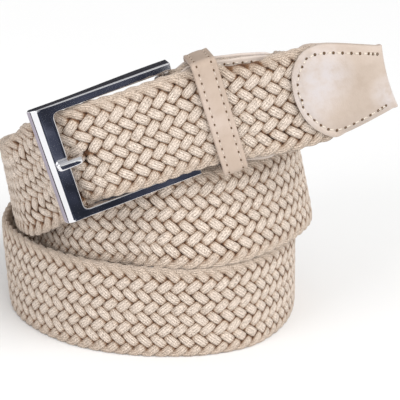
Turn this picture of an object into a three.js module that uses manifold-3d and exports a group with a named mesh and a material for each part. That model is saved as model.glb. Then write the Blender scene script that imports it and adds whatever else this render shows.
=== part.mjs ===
// Elastic stretch belt, rolled up on its edge with the buckle closed.
// Millimetres, +Z up. The belt stands on its lower edge at z = 0 and the buckle faces -Y.
import * as THREE from 'three';
import { mergeVertices } from 'three/addons/utils/BufferGeometryUtils.js';
import Module from 'manifold-3d';

const wasm = await Module();
wasm.setup();

// Band: the flat braid of elastic yarn
const bandWidth = 35;
const bandThickness = 3.6;
const bandChamfer = 0.6;
const bandStep = 4.0;

// Coil: how far the middle of the band lies from the centre line of the roll
const coilReach = 56;
const floorSink = 0.1;

// Leather
const leatherThickness = 1.2;
const tabWidth = 36.5;
const tabHeelWidth = 33.6;
const tabLength = 41;
const tipWidth = 33.2;
const tipLength = 36;
const tipSkewDeg = 8;
const keeperWidth = 10;
const keeperThickness = 1.5;
const keeperOffset = 14;
const keeperSkewDeg = 7.5;

// Buckle frame: a U of an outer bar and two side rails
const frameLength = 51;
const frameHeight = 42.4;
const outerBarWidth = 7.8;
const outerBarDepth = 3.8;
const railWidth = 2.9;
const railDepth = 5.4;
const frameBevel = 0.7;
const barBevelWidth = 2.9;
const barBevelDepth = 1.3;
const heelBarRadius = 1.3;
const heelBarInset = 3.5;
const heelBarSetBack = 0.6;
const pinHoleDepth = 1.8;

// Prong
const prongWidth = 3.6;
const prongThickness = 2.2;
const prongEyeWall = 1.1;

// Where the closed buckle sits on the roll
const buckleYawDeg = 17;
const buckleSlopeDeg = 16;
const buckleAside = -10.8;
const buckleForward = 63.0;
const buckleUp = 84.6;

// Clearances
const clearance = 0.3;
const foldRoom = 0.3;

const rad = Math.PI / 180;

// Coil stations from the buckle end to the buckle front: the turn in degrees, counted
// anticlockwise from the front, the reach as a share of coilReach plus a number of band
// thicknesses, the height of the middle as a share of bandWidth, and the lean in degrees
// at which the upper edge tips outward.
const coilStations = [
  { turn: 44, reach: 1.156, nest: 0, height: 2.685, lean: 1 },
  { turn: 54, reach: 1.150, nest: 0, height: 2.63, lean: 2 },
  { turn: 64, reach: 1.040, nest: 0, height: 2.555, lean: 2 },
  { turn: 75, reach: 0.900, nest: 0, height: 2.49, lean: 3 },
  { turn: 86, reach: 0.837, nest: 0, height: 2.40, lean: 2 },
  { turn: 100, reach: 0.840, nest: 0, height: 2.28, lean: 0 },
  { turn: 120, reach: 0.850, nest: 0, height: 2.13, lean: 0 },
  { turn: 145, reach: 0.846, nest: 0, height: 1.92, lean: 0 },
  { turn: 180, reach: 0.836, nest: 0, height: 1.69, lean: 0 },
  { turn: 215, reach: 0.832, nest: 0, height: 1.50, lean: 0 },
  { turn: 250, reach: 0.829, nest: 0, height: 1.38, lean: 0 },
  { turn: 285, reach: 0.825, nest: 0, height: 1.34, lean: 0 },
  { turn: 315, reach: 0.836, nest: 0, height: 1.39, lean: 0 },
  { turn: 334, reach: 0.861, nest: 0, height: 1.457, lean: 0 },
  { turn: 348, reach: 0.875, nest: 0, height: 1.490, lean: -1 },
  { turn: 360, reach: 0.928, nest: 0, height: 1.508, lean: -5 },
  { turn: 373, reach: 0.980, nest: 0, height: 1.520, lean: -9 },
  { turn: 388, reach: 1.013, nest: 0, height: 1.540, lean: -10 },
  { turn: 405, reach: 1.030, nest: 0, height: 1.566, lean: -9 },
  { turn: 423, reach: 1.039, nest: 0, height: 1.568, lean: -10 },
  { turn: 440, reach: 1.039, nest: 0, height: 1.554, lean: -12 },
  { turn: 456, reach: 1.018, nest: 0, height: 1.537, lean: -12 },
  { turn: 478, reach: 0.929, nest: 1, height: 1.457, lean: -8 },
  { turn: 505, reach: 0.864, nest: 2, height: 1.314, lean: -3 },
  { turn: 540, reach: 0.896, nest: 2, height: 1.074, lean: 1 },
  { turn: 570, reach: 0.932, nest: 2, height: 0.846, lean: 4 },
  { turn: 595, reach: 0.950, nest: 2, height: 0.663, lean: 5 },
  { turn: 615, reach: 0.936, nest: 2, height: 0.530, lean: 4 },
  { turn: 635, reach: 0.982, nest: 1, height: 0.500, lean: 3 },
  { turn: 652, reach: 0.936, nest: 1, height: 0.500, lean: 0 },
  { turn: 668, reach: 0.904, nest: 1, height: 0.500, lean: -1 },
  { turn: 690, reach: 0.889, nest: 1, height: 0.500, lean: -2 },
  { turn: 708, reach: 0.896, nest: 1, height: 0.500, lean: -1 },
  { turn: 726, reach: 0.936, nest: 1, height: 0.500, lean: 2 },
  { turn: 743, reach: 0.984, nest: 1, height: 0.500, lean: 3 },
  { turn: 758, reach: 0.988, nest: 1, height: 0.500, lean: -1 },
  { turn: 775, reach: 0.957, nest: 1, height: 0.500, lean: -1 },
  { turn: 792, reach: 0.932, nest: 1, height: 0.500, lean: 0 },
  { turn: 810, reach: 0.907, nest: 1, height: 0.500, lean: -2 },
  { turn: 835, reach: 0.878, nest: 1, height: 0.526, lean: -1 },
  { turn: 865, reach: 0.857, nest: 1, height: 0.640, lean: 0 },
  { turn: 900, reach: 0.864, nest: 1, height: 0.846, lean: 1 },
  { turn: 930, reach: 0.893, nest: 1, height: 1.040, lean: 5 },
  { turn: 955, reach: 0.936, nest: 1, height: 1.217, lean: 8 },
  { turn: 980, reach: 0.946, nest: 1, height: 1.371, lean: 8 },
  { turn: 998, reach: 0.939, nest: 1, height: 1.468, lean: 8 },
  { turn: 1012, reach: 0.950, nest: 1, height: 1.550, lean: 10 },
  { turn: 1028, reach: 1.000, nest: 1, height: 1.680, lean: 14 },
  { turn: 1043, reach: 1.071, nest: 1, height: 1.955, lean: 21 },
];

// Buckle frame axes: u runs along the rails to the right, n points out at the viewer
// and w runs up along the outer bar.
const yaw = buckleYawDeg * rad;
const slope = buckleSlopeDeg * rad;
const buckleCentre = new THREE.Vector3(buckleAside, -buckleForward, buckleUp);
const axisU = new THREE.Vector3(
  Math.cos(yaw) * Math.cos(slope),
  Math.sin(yaw) * Math.cos(slope),
  Math.sin(slope),
);
const axisN = new THREE.Vector3(Math.sin(yaw), -Math.cos(yaw), 0);
const axisW = new THREE.Vector3().crossVectors(axisN, axisU);
if (axisW.z < 0) axisW.negate();

function atBuckle(u, n, w) {
  return buckleCentre.clone()
    .addScaledVector(axisU, u)
    .addScaledVector(axisN, n)
    .addScaledVector(axisW, w);
}

// Layers at the heel bar, counted out from the middle of the buckle-end run
const heelU = frameLength / 2 - heelBarInset;
const heelN = -heelBarSetBack;
const leafInner = bandThickness / 2 + clearance;
const leafOuter = leafInner + leatherThickness;
const layerPitch = leafOuter + 2 * clearance + bandThickness / 2;
const frontN = heelN + layerPitch;
const barFrontN = railDepth / 2;
const barBackN = barFrontN - outerBarDepth;
const underBarN = barBackN - 2 * clearance - bandThickness / 2;
const barInnerU = outerBarWidth - frameLength / 2;

// Front run of the free end through the buckle: under the outer bar, up over the heel
// bar and on to the tip. Beyond the heel bar the along column is a share of freeRun.
const freeRun = 75.8;
const frontStations = [
  { u: barInnerU - 3.4, n: underBarN - 3.8, w: -2.2, width: 0.96, tuck: 4 },
  { u: barInnerU, n: underBarN - 1.4, w: -0.9, width: 0.965, tuck: 4 },
  { u: barInnerU + 4.5, n: underBarN + 0.25 * (frontN - underBarN), w: -0.3, width: 0.975, tuck: 2 },
  { u: barInnerU + 9, n: underBarN + 0.48 * (frontN - underBarN), w: 0, width: 0.985, tuck: 0 },
  { u: barInnerU + 17, n: underBarN + 0.74 * (frontN - underBarN), w: 0, width: 0.995, tuck: 0 },
  { u: barInnerU + 27, n: underBarN + 0.90 * (frontN - underBarN), w: 0, width: 1, tuck: 0 },
  { u: heelU, n: frontN, w: 0, width: 1, tuck: 0 },
];
const freeStations = [
  { along: 0.143, out: 0.017, drop: 0.008, width: 1 },
  { along: 0.264, out: 0.029, drop: 0.022, width: 1 },
  { along: 0.49, out: 0.060, drop: 0.057, width: 1.01 },
  { along: 0.69, out: 0.083, drop: 0.071, width: 0.98 },
  { along: 0.85, out: 0.101, drop: 0.087, width: 0.95 },
  { along: 1, out: 0.117, drop: 0.102, width: 0.94 },
];
for (const row of freeStations) {
  frontStations.push({
    u: heelU + row.along * freeRun,
    n: frontN + row.out * freeRun,
    w: -row.drop * freeRun,
    width: row.width,
    tuck: 0,
  });
}

// Buckle-end run: it leaves the heel bar behind the free end and keeps one layer apart
const backDrop = 0.3;
const backStations = [
  { u: heelU, n: heelN, w: -0.7 * backDrop },
  { u: heelU + freeStations[0].along * freeRun, n: heelN + 0.014 * freeRun, w: -1.3 * backDrop },
  { u: heelU + freeStations[1].along * freeRun, n: heelN + 0.026 * freeRun, w: -backDrop - 0.025 * freeRun },
  { u: heelU + 0.385 * freeRun, n: heelN + 0.036 * freeRun, w: -backDrop - 0.060 * freeRun },
];

// A point of the run as turn, reach and height about the centre line of the roll
function asStation(point, fullTurns, width = 1, tuck = 0) {
  const turn = Math.atan2(point.x, -point.y) / rad + 360 * fullTurns;
  return { turn, reach: Math.hypot(point.x, point.y), height: point.z, lean: null, width, tuck };
}

const path = [];
for (const row of backStations) {
  path.push(asStation(atBuckle(row.u, row.n, row.w), 0));
}
for (const row of coilStations) {
  path.push({
    turn: row.turn,
    reach: row.reach * coilReach + row.nest * bandThickness,
    height: row.height * bandWidth - (row.height === 0.5 ? floorSink : 0),
    lean: row.lean,
    width: 1,
  });
}
for (const row of frontStations) {
  path.push(asStation(atBuckle(row.u, row.n, row.w), 3, row.width, row.tuck));
}

// Smooth value of one column between the stations
function columnAt(name, turn) {
  let i = 0;
  while (i < path.length - 2 && path[i + 1].turn < turn) i += 1;
  const slopeAt = (k) => {
    const a = path[Math.max(k - 1, 0)];
    const b = path[k];
    const c = path[Math.min(k + 1, path.length - 1)];
    const before = b.turn - a.turn;
    const after = c.turn - b.turn;
    if (before === 0) return (c[name] - b[name]) / after;
    if (after === 0) return (b[name] - a[name]) / before;
    const slopeBefore = (b[name] - a[name]) / before;
    const slopeAfter = (c[name] - b[name]) / after;
    return (slopeBefore * after + slopeAfter * before) / (before + after);
  };
  const p = path[i];
  const q = path[i + 1];
  const span = q.turn - p.turn;
  const t = (turn - p.turn) / span;
  const t2 = t * t;
  const t3 = t2 * t;
  return (2 * t3 - 3 * t2 + 1) * p[name] + (t3 - 2 * t2 + t) * span * slopeAt(i)
    + (3 * t2 - 2 * t3) * q[name] + (t3 - t2) * span * slopeAt(i + 1);
}

function pathPoint(turn) {
  const reach = columnAt('reach', turn);
  return new THREE.Vector3(
    reach * Math.sin(turn * rad),
    -reach * Math.cos(turn * rad),
    columnAt('height', turn),
  );
}

function pathAlong(turn) {
  const step = 0.25;
  return pathPoint(Math.min(turn + step, path[path.length - 1].turn))
    .sub(pathPoint(Math.max(turn - step, path[0].turn)))
    .normalize();
}

// In the buckle the band leans so that its width lies along the outer bar
for (const row of path) {
  if (row.lean === null) {
    const along = pathAlong(row.turn);
    const level = new THREE.Vector3(along.y, -along.x, 0).normalize();
    const rise = new THREE.Vector3(0, 0, 1).addScaledVector(along, -along.z);
    row.lean = Math.atan2(rise.lengthSq() * axisW.dot(level), axisW.dot(rise)) / rad + row.tuck;
  }
}

// Place on the run: middle of the band, direction along it, width direction and outward
function pathFrame(turn) {
  const middle = pathPoint(turn);
  const along = pathAlong(turn);
  const level = new THREE.Vector3(along.y, -along.x, 0).normalize();
  const lean = columnAt('lean', turn) * rad;
  const wide = new THREE.Vector3(0, 0, Math.cos(lean)).addScaledVector(level, Math.sin(lean));
  wide.addScaledVector(along, -wide.dot(along)).normalize();
  const out = new THREE.Vector3().crossVectors(along, wide).normalize();
  return { middle, along, wide, out, width: columnAt('width', turn) };
}

// Turns at even steps of length along the run
const rulerTurns = [];
const rulerLengths = [];
{
  const first = path[0].turn;
  const last = path[path.length - 1].turn;
  const count = 4000;
  let run = 0;
  let before = pathPoint(first);
  for (let i = 0; i <= count; i += 1) {
    const turn = first + ((last - first) * i) / count;
    const here = pathPoint(turn);
    run += here.distanceTo(before);
    before = here;
    rulerTurns.push(turn);
    rulerLengths.push(run);
  }
}
const runLength = rulerLengths[rulerLengths.length - 1];

function turnAtLength(length) {
  let low = 0;
  let high = rulerLengths.length - 1;
  while (high - low > 1) {
    const mid = (low + high) >> 1;
    if (rulerLengths[mid] < length) low = mid;
    else high = mid;
  }
  const share = (length - rulerLengths[low]) / (rulerLengths[high] - rulerLengths[low]);
  return rulerTurns[low] + share * (rulerTurns[high] - rulerTurns[low]);
}

function lengthAtTurn(turn) {
  const share = (turn - rulerTurns[0]) / (rulerTurns[rulerTurns.length - 1] - rulerTurns[0]);
  const place = share * (rulerTurns.length - 1);
  const i = Math.min(Math.floor(place), rulerTurns.length - 2);
  return rulerLengths[i] + (place - i) * (rulerLengths[i + 1] - rulerLengths[i]);
}

function frameAtLength(length) {
  return pathFrame(turnAtLength(length));
}

// A closed solid through a row of rings with the same number of corners
function loft(rings) {
  const corners = rings[0].length;
  const positions = [];
  const index = [];
  for (const ring of rings) {
    for (const p of ring) positions.push(p.x, p.y, p.z);
  }
  for (let i = 0; i < rings.length - 1; i += 1) {
    for (let k = 0; k < corners; k += 1) {
      const a = i * corners + k;
      const b = i * corners + ((k + 1) % corners);
      const c = a + corners;
      const d = b + corners;
      index.push(a, b, d, a, d, c);
    }
  }
  const lastRing = (rings.length - 1) * corners;
  for (let k = 1; k < corners - 1; k += 1) {
    index.push(0, k + 1, k);
    index.push(lastRing, lastRing + k, lastRing + k + 1);
  }
  const geometry = new THREE.BufferGeometry();
  geometry.setAttribute('position', new THREE.Float32BufferAttribute(positions, 3));
  geometry.setIndex(index);
  return facingOut(geometry);
}

// Turns the faces over where the solid would come out inside out
function facingOut(geometry) {
  const p = geometry.attributes.position;
  const index = geometry.index;
  const a = new THREE.Vector3();
  const b = new THREE.Vector3();
  const c = new THREE.Vector3();
  let volume = 0;
  for (let i = 0; i < index.count; i += 3) {
    a.fromBufferAttribute(p, index.getX(i));
    b.fromBufferAttribute(p, index.getX(i + 1));
    c.fromBufferAttribute(p, index.getX(i + 2));
    volume += a.dot(b.cross(c));
  }
  if (volume < 0) {
    for (let i = 0; i < index.count; i += 3) {
      const first = index.getX(i);
      index.setX(i, index.getX(i + 1));
      index.setX(i + 1, first);
    }
  }
  return geometry;
}

function toSolid(geometry) {
  const bare = geometry.clone();
  bare.deleteAttribute('normal');
  bare.deleteAttribute('uv');
  const merged = mergeVertices(bare, 1e-3);
  return new wasm.Manifold(new wasm.Mesh({
    numProp: 3,
    vertProperties: new Float32Array(merged.attributes.position.array),
    triVerts: new Uint32Array(merged.index.array),
  }));
}

function toGeometry(solid) {
  const mesh = solid.getMesh();
  const geometry = new THREE.BufferGeometry();
  geometry.setAttribute('position', new THREE.Float32BufferAttribute(mesh.vertProperties, 3));
  geometry.setIndex(Array.from(mesh.triVerts));
  geometry.computeVertexNormals();
  return geometry;
}

// A geometry built on u, n, w axes, put in its place on the roll
function inBuckle(geometry) {
  const place = new THREE.Matrix4().makeBasis(axisU, axisN, axisW);
  place.setPosition(buckleCentre);
  geometry.applyMatrix4(place);
  return geometry.index ? facingOut(geometry) : facingOut(mergeVertices(geometry, 1e-5));
}

// Eight-cornered section of a flat strip, as pairs across the width and the thickness
function stripSection(halfWidth, halfThickness, chamfer) {
  return [
    [-halfWidth + chamfer, -halfThickness],
    [halfWidth - chamfer, -halfThickness],
    [halfWidth, -halfThickness + chamfer],
    [halfWidth, halfThickness - chamfer],
    [halfWidth - chamfer, halfThickness],
    [-halfWidth + chamfer, halfThickness],
    [-halfWidth, halfThickness - chamfer],
    [-halfWidth, -halfThickness + chamfer],
  ];
}

// Woven band, from just behind the heel bar to inside the tip
const bandStart = heelBarRadius + clearance + prongEyeWall + clearance;
const bandIntoTip = 0.62 * tipLength;
const tipStart = runLength - tipLength;
const bandEnd = tipStart + bandIntoTip;

function bandRings(section, from, to, step) {
  const count = Math.ceil((to - from) / step);
  const rings = [];
  for (let i = 0; i <= count; i += 1) {
    const f = frameAtLength(from + ((to - from) * i) / count);
    rings.push(section.map(([w, n]) => f.middle.clone()
      .addScaledVector(f.wide, w * f.width)
      .addScaledVector(f.out, n)));
  }
  return rings;
}

// Prong: its middle line from the heel bar under the free end, up through the band and
// over the outer bar
const prongOverBarN = barFrontN + clearance + prongThickness / 2;
const prongLine = [
  { u: heelU - heelBarRadius - clearance - prongEyeWall / 2, n: heelN - 0.3 },
  { u: heelU - 9, n: heelN - 0.75 },
  { u: heelU - 19, n: heelN - 1.2 },
  { u: barInnerU + 9.5, n: heelN - 1.0 },
  { u: barInnerU + 6.2, n: heelN + 0.2 },
  { u: barInnerU + 3.4, n: heelN + 0.56 * (prongOverBarN - heelN) },
  { u: barInnerU + 1.2, n: prongOverBarN - 0.15 },
  { u: barInnerU - 1.2, n: prongOverBarN },
  { u: barInnerU - 0.42 * outerBarWidth, n: prongOverBarN },
  { u: barInnerU - 0.53 * outerBarWidth, n: prongOverBarN - 0.05 },
  { u: barInnerU - 0.59 * outerBarWidth, n: prongOverBarN - 0.1 },
];
const prongTaper = [1, 1, 1, 1, 1, 1, 1, 1, 1, 0.8, 0.45];

function prongSolid(extra) {
  const rings = prongLine.map((row, i) => {
    const a = prongLine[Math.max(i - 1, 0)];
    const b = prongLine[Math.min(i + 1, prongLine.length - 1)];
    const tilt = Math.atan2(b.n - a.n, a.u - b.u);
    const halfThick = (prongThickness / 2) * (0.5 + 0.5 * prongTaper[i]) + extra;
    const halfWide = (prongWidth / 2) * prongTaper[i] + extra;
    const chamfer = 0.3 * halfThick;
    return stripSection(halfWide, halfThick, chamfer).map(([w, t]) => new THREE.Vector3(
      row.u + Math.sin(tilt) * t,
      row.n + Math.cos(tilt) * t,
      w,
    ));
  });
  return toSolid(inBuckle(loft(rings)));
}

// A ring round an axis that runs along the outer bar's direction, open or full
function barAlongW(radius, halfLength, u, n, sides) {
  const bar = new THREE.CylinderGeometry(radius, radius, 2 * halfLength, sides);
  bar.rotateX(Math.PI / 2);
  bar.translate(u, n, 0);
  return toSolid(inBuckle(bar));
}

const eyeInner = heelBarRadius + clearance;
const eyeOuter = eyeInner + prongEyeWall;
const prongEye = barAlongW(eyeOuter, prongWidth / 2, heelU, heelN, 24)
  .subtract(barAlongW(eyeInner, prongWidth, heelU, heelN, 24));
const prongBar = prongSolid(0).subtract(barAlongW(eyeInner, prongWidth, heelU, heelN, 24));
const prong = prongBar.add(prongEye);

// The band is cut flat where it stands on the floor and opens for the prong
const floorSlab = new THREE.BoxGeometry(8 * coilReach, 8 * coilReach, bandWidth);
floorSlab.translate(0, 0, -bandWidth / 2);
const band = toSolid(loft(bandRings(
  stripSection(bandWidth / 2, bandThickness / 2, bandChamfer),
  bandStart,
  bandEnd,
  bandStep,
)))
  .subtract(toSolid(floorSlab))
  .subtract(prongSolid(clearance));

// Folded leather: a strip that runs out along one face of the band, round the end and
// back along the other face. Each station has its place along the run, its distance from
// the middle of the band and its width.
function leafRings(stations, skewDeg) {
  const skew = Math.tan(skewDeg * rad);
  return stations.map((row, i) => {
    const before = stations[Math.max(i - 1, 0)];
    const after = stations[Math.min(i + 1, stations.length - 1)];
    const f = row.frame;
    const along = after.point.clone().sub(before.point).normalize();
    const across = new THREE.Vector3().crossVectors(f.wide, along).normalize();
    const half = row.width / 2;
    const halfLeaf = leatherThickness / 2;
    return [[-half, -halfLeaf], [half, -halfLeaf], [half, halfLeaf], [-half, halfLeaf]].map(([w, t]) => (
      row.point.clone()
        .addScaledVector(f.wide, w)
        .addScaledVector(f.along, -skew * w)
        .addScaledVector(across, t)));
  });
}

function foldedLeather(profile, endAt, endSign, endRadius, skewDeg = 0) {
  const stations = [];
  const add = (length, n, width) => {
    const held = Math.min(Math.max(length, 0.01), runLength - 0.01);
    const frame = frameAtLength(held);
    const point = frame.middle.clone()
      .addScaledVector(frame.along, length - held)
      .addScaledVector(frame.out, n);
    stations.push({ frame, point, width });
  };
  for (const row of profile) add(row.at, row.n, row.width);
  const last = profile[profile.length - 1];
  const foldSteps = 8;
  for (let i = 1; i < foldSteps; i += 1) {
    const angle = (Math.PI * i) / foldSteps;
    add(endAt + endSign * endRadius * Math.sin(angle), endRadius * Math.cos(angle), last.width);
  }
  for (const row of [...profile].reverse()) add(row.at, -row.n, row.width);
  return toSolid(loft(leafRings(stations, skewDeg)));
}

// Buckle tab round the heel bar
const leafMiddle = leafInner + leatherThickness / 2;
const tabFoldRadius = heelBarRadius + foldRoom + leatherThickness / 2;
const tabProfile = [
  { share: 1, width: 0.46 },
  { share: 0.985, width: 0.66 },
  { share: 0.95, width: 0.82 },
  { share: 0.90, width: 0.93 },
  { share: 0.84, width: 0.985 },
  { share: 0.76, width: 1 },
  { share: 0.69, width: 1 },
  { share: 0.62, width: 1 },
  { share: 0.55, width: 1 },
  { share: 0.48, width: 1 },
  { share: 0.41, width: 1 },
  { share: 0.34, width: 1 },
  { share: 0.27, width: 1 },
  { share: 0.20, width: 1 },
].map((row) => ({ at: row.share * tabLength, n: leafMiddle, width: row.width * tabWidth }));
tabProfile.push({ at: heelBarInset + 2, n: leafMiddle, width: tabHeelWidth });
tabProfile.push({ at: heelBarRadius, n: 0.4 * leafMiddle + 0.6 * tabFoldRadius, width: tabHeelWidth });
tabProfile.push({ at: 0, n: tabFoldRadius, width: tabHeelWidth });
const prongSlot = new THREE.BoxGeometry(
  2 * (eyeOuter + clearance + 0.4),
  4 * eyeOuter + 4,
  prongWidth + 2 * clearance,
);
prongSlot.translate(heelU, heelN, 0);
const buckleTab = foldedLeather(tabProfile, 0, -1, tabFoldRadius)
  .subtract(toSolid(inBuckle(prongSlot)));

// Leather tip: shares of tipLength from its inner end and of tipWidth
const tipProfile = [
  { share: 0, width: 0.20, n: 1 },
  { share: 0.02, width: 0.40, n: 1 },
  { share: 0.06, width: 0.58, n: 1 },
  { share: 0.11, width: 0.76, n: 1 },
  { share: 0.17, width: 0.88, n: 1 },
  { share: 0.25, width: 0.97, n: 1 },
  { share: 0.33, width: 1, n: 1 },
  { share: 0.47, width: 0.96, n: 1 },
  { share: 0.64, width: 0.87, n: 1 },
  { share: 0.80, width: 0.77, n: 0.72 },
  { share: 0.94, width: 0.68, n: 0.5 },
].map((row) => ({ at: tipStart + row.share * tipLength, n: row.n * leafMiddle, width: row.width * tipWidth }));
const tipFoldRadius = 0.5 * leafMiddle;
const tipFoldAt = runLength - tipFoldRadius;
tipProfile.push({ at: tipFoldAt, n: tipFoldRadius, width: 0.6 * tipWidth });
const tipBody = foldedLeather(tipProfile, tipFoldAt, 1, tipFoldRadius, tipSkewDeg);

// The band narrows inside the tip, to the tip's outline less a margin
const tipMargin = 1.2;
const bandTrim = tipProfile
  .filter((row) => row.at > tipStart + 0.4 * tipLength)
  .map((row) => ({ frame: frameAtLength(Math.min(row.at, runLength - 0.01)), half: row.width / 2 - tipMargin }));
const trimSolids = [1, -1].map((side) => toSolid(loft(bandTrim.map(({ frame, half }) => (
  [[half, -4], [half + 12, -4], [half + 12, 4], [half, 4]].map(([w, n]) => frame.middle.clone()
    .addScaledVector(frame.wide, side * w)
    .addScaledVector(frame.along, -Math.tan(tipSkewDeg * rad) * side * w)
    .addScaledVector(frame.out, n)))))));
const wovenBand = trimSolids.reduce((solid, cut) => solid.subtract(cut), band);

// Keeper loop round the free end, the tab and the buckle-end run
const keeperTurn = asStation(atBuckle(heelU + keeperOffset, frontN + 1.5, 0), 3).turn;
const keeperFrame = pathFrame(keeperTurn);
const keeperBack = -(layerPitch + leafOuter) - 3 * clearance;
const keeperFront = bandThickness / 2 + clearance;
const keeperHigh = tabWidth / 2 + 4 * clearance;
const keeperLow = -(tabWidth / 2 + backDrop + 6 * clearance);
function roundedLoop(lowW, highW, lowN, highN, radius) {
  const shape = new THREE.Shape();
  shape.moveTo(lowW + radius, lowN);
  shape.lineTo(highW - radius, lowN);
  shape.absarc(highW - radius, lowN + radius, radius, -Math.PI / 2, 0, false);
  shape.lineTo(highW, highN - radius);
  shape.absarc(highW - radius, highN - radius, radius, 0, Math.PI / 2, false);
  shape.lineTo(lowW + radius, highN);
  shape.absarc(lowW + radius, highN - radius, radius, Math.PI / 2, Math.PI, false);
  shape.lineTo(lowW, lowN + radius);
  shape.absarc(lowW + radius, lowN + radius, radius, Math.PI, 1.5 * Math.PI, false);
  return shape;
}
const keeperShape = roundedLoop(
  keeperLow - keeperThickness,
  keeperHigh + keeperThickness,
  keeperBack - keeperThickness,
  keeperFront + keeperThickness,
  keeperThickness + 0.8,
);
keeperShape.holes.push(roundedLoop(keeperLow, keeperHigh, keeperBack, keeperFront, 0.8));
const keeperGeometry = new THREE.ExtrudeGeometry(keeperShape, {
  depth: keeperWidth,
  bevelEnabled: false,
  curveSegments: 5,
});
keeperGeometry.translate(0, 0, -keeperWidth / 2);
keeperGeometry.applyMatrix4(new THREE.Matrix4().makeRotationY(keeperSkewDeg * rad));
const keeperPlace = new THREE.Matrix4().makeBasis(keeperFrame.wide, keeperFrame.out, keeperFrame.along);
keeperPlace.setPosition(keeperFrame.middle);
keeperGeometry.applyMatrix4(keeperPlace);
const keeperLoop = toSolid(facingOut(mergeVertices(stripped(keeperGeometry), 1e-5)));

function stripped(geometry) {
  geometry.deleteAttribute('normal');
  geometry.deleteAttribute('uv');
  return geometry;
}

// Buckle frame: U outline in u and w, with bevelled edges
const halfLength = frameLength / 2;
const halfHeight = frameHeight / 2;
const innerHalf = halfHeight - railWidth;
const innerCorner = 2.2;
const outline = new THREE.Shape();
outline.moveTo(halfLength, halfHeight);
outline.lineTo(-halfLength, halfHeight);
outline.lineTo(-halfLength, -halfHeight);
outline.lineTo(halfLength, -halfHeight);
outline.lineTo(halfLength, -innerHalf);
outline.lineTo(barInnerU + innerCorner, -innerHalf);
outline.quadraticCurveTo(barInnerU, -innerHalf, barInnerU, -innerHalf + innerCorner);
outline.lineTo(barInnerU, innerHalf - innerCorner);
outline.quadraticCurveTo(barInnerU, innerHalf, barInnerU + innerCorner, innerHalf);
outline.lineTo(halfLength, innerHalf);
outline.closePath();
const frameGeometry = new THREE.ExtrudeGeometry(outline, {
  depth: railDepth - 2 * frameBevel,
  bevelEnabled: true,
  bevelThickness: frameBevel,
  bevelSize: frameBevel,
  bevelOffset: -frameBevel,
  bevelSegments: 2,
  curveSegments: 5,
});
frameGeometry.translate(0, 0, frameBevel - railDepth / 2);
frameGeometry.applyMatrix4(new THREE.Matrix4().makeBasis(
  new THREE.Vector3(1, 0, 0),
  new THREE.Vector3(0, 0, 1),
  new THREE.Vector3(0, 1, 0),
));
// The outer bar is shallower than the rails at its back
const barRelief = new THREE.BoxGeometry(outerBarWidth + 2, railDepth, frameHeight + 2);
barRelief.translate(barInnerU - outerBarWidth / 2 - 1, barBackN - railDepth / 2, 0);
// A broad bevel runs down the outer edge of the outer bar
const bevelCut = new THREE.Shape();
bevelCut.moveTo(-frameLength / 2 - 1, barFrontN + 1);
bevelCut.lineTo(-frameLength / 2 - 1, barFrontN - barBevelDepth * (1 + 1 / barBevelWidth));
bevelCut.lineTo(-frameLength / 2 + barBevelWidth, barFrontN);
bevelCut.lineTo(-frameLength / 2 + barBevelWidth, barFrontN + 1);
bevelCut.closePath();
const bevelGeometry = new THREE.ExtrudeGeometry(bevelCut, { depth: 2 * frameHeight, bevelEnabled: false });
bevelGeometry.translate(0, 0, -frameHeight);
const pinHalf = innerHalf + pinHoleDepth - clearance;
const buckleFrame = toSolid(inBuckle(stripped(frameGeometry)))
  .subtract(toSolid(inBuckle(barRelief)))
  .subtract(toSolid(inBuckle(stripped(bevelGeometry))))
  .subtract(barAlongW(heelBarRadius + clearance, innerHalf + pinHoleDepth, heelU, heelN, 24));

const heelBar = new THREE.CylinderGeometry(heelBarRadius, heelBarRadius, 2 * pinHalf, 24);
heelBar.rotateX(Math.PI / 2);
heelBar.translate(heelU, heelN, 0);

// Materials
const braid = new THREE.MeshStandardMaterial({ color: 0xc9b7a6, roughness: 0.9, metalness: 0 });
const leather = new THREE.MeshStandardMaterial({ color: 0xdccabc, roughness: 0.55, metalness: 0 });
const chrome = new THREE.MeshStandardMaterial({ color: 0xc9ccd1, roughness: 0.12, metalness: 1 });

const belt = new THREE.Group();
function addPiece(name, geometry, material) {
  const mesh = new THREE.Mesh(geometry, material);
  mesh.name = name;
  belt.add(mesh);
}
addPiece('woven_band', toGeometry(wovenBand), braid);
addPiece('buckle_tab', toGeometry(buckleTab), leather);
addPiece('keeper_loop', toGeometry(keeperLoop), leather);
addPiece('tip_leather', toGeometry(tipBody), leather);
addPiece('buckle_frame', toGeometry(buckleFrame), chrome);
addPiece('heel_bar', inBuckle(stripped(heelBar)), chrome);
addPiece('prong', toGeometry(prong), chrome);

// The origin is at the bottom centre of the whole belt
const box = new THREE.Box3().setFromObject(belt, true);
belt.position.set(-(box.min.x + box.max.x) / 2, -(box.min.y + box.max.y) / 2, -box.min.z);
belt.updateMatrixWorld(true);

export default belt;
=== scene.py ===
# Elastic stretch belt, rolled up on its edge: braid, leather, stitching and chrome round the CAD part
import math

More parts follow.
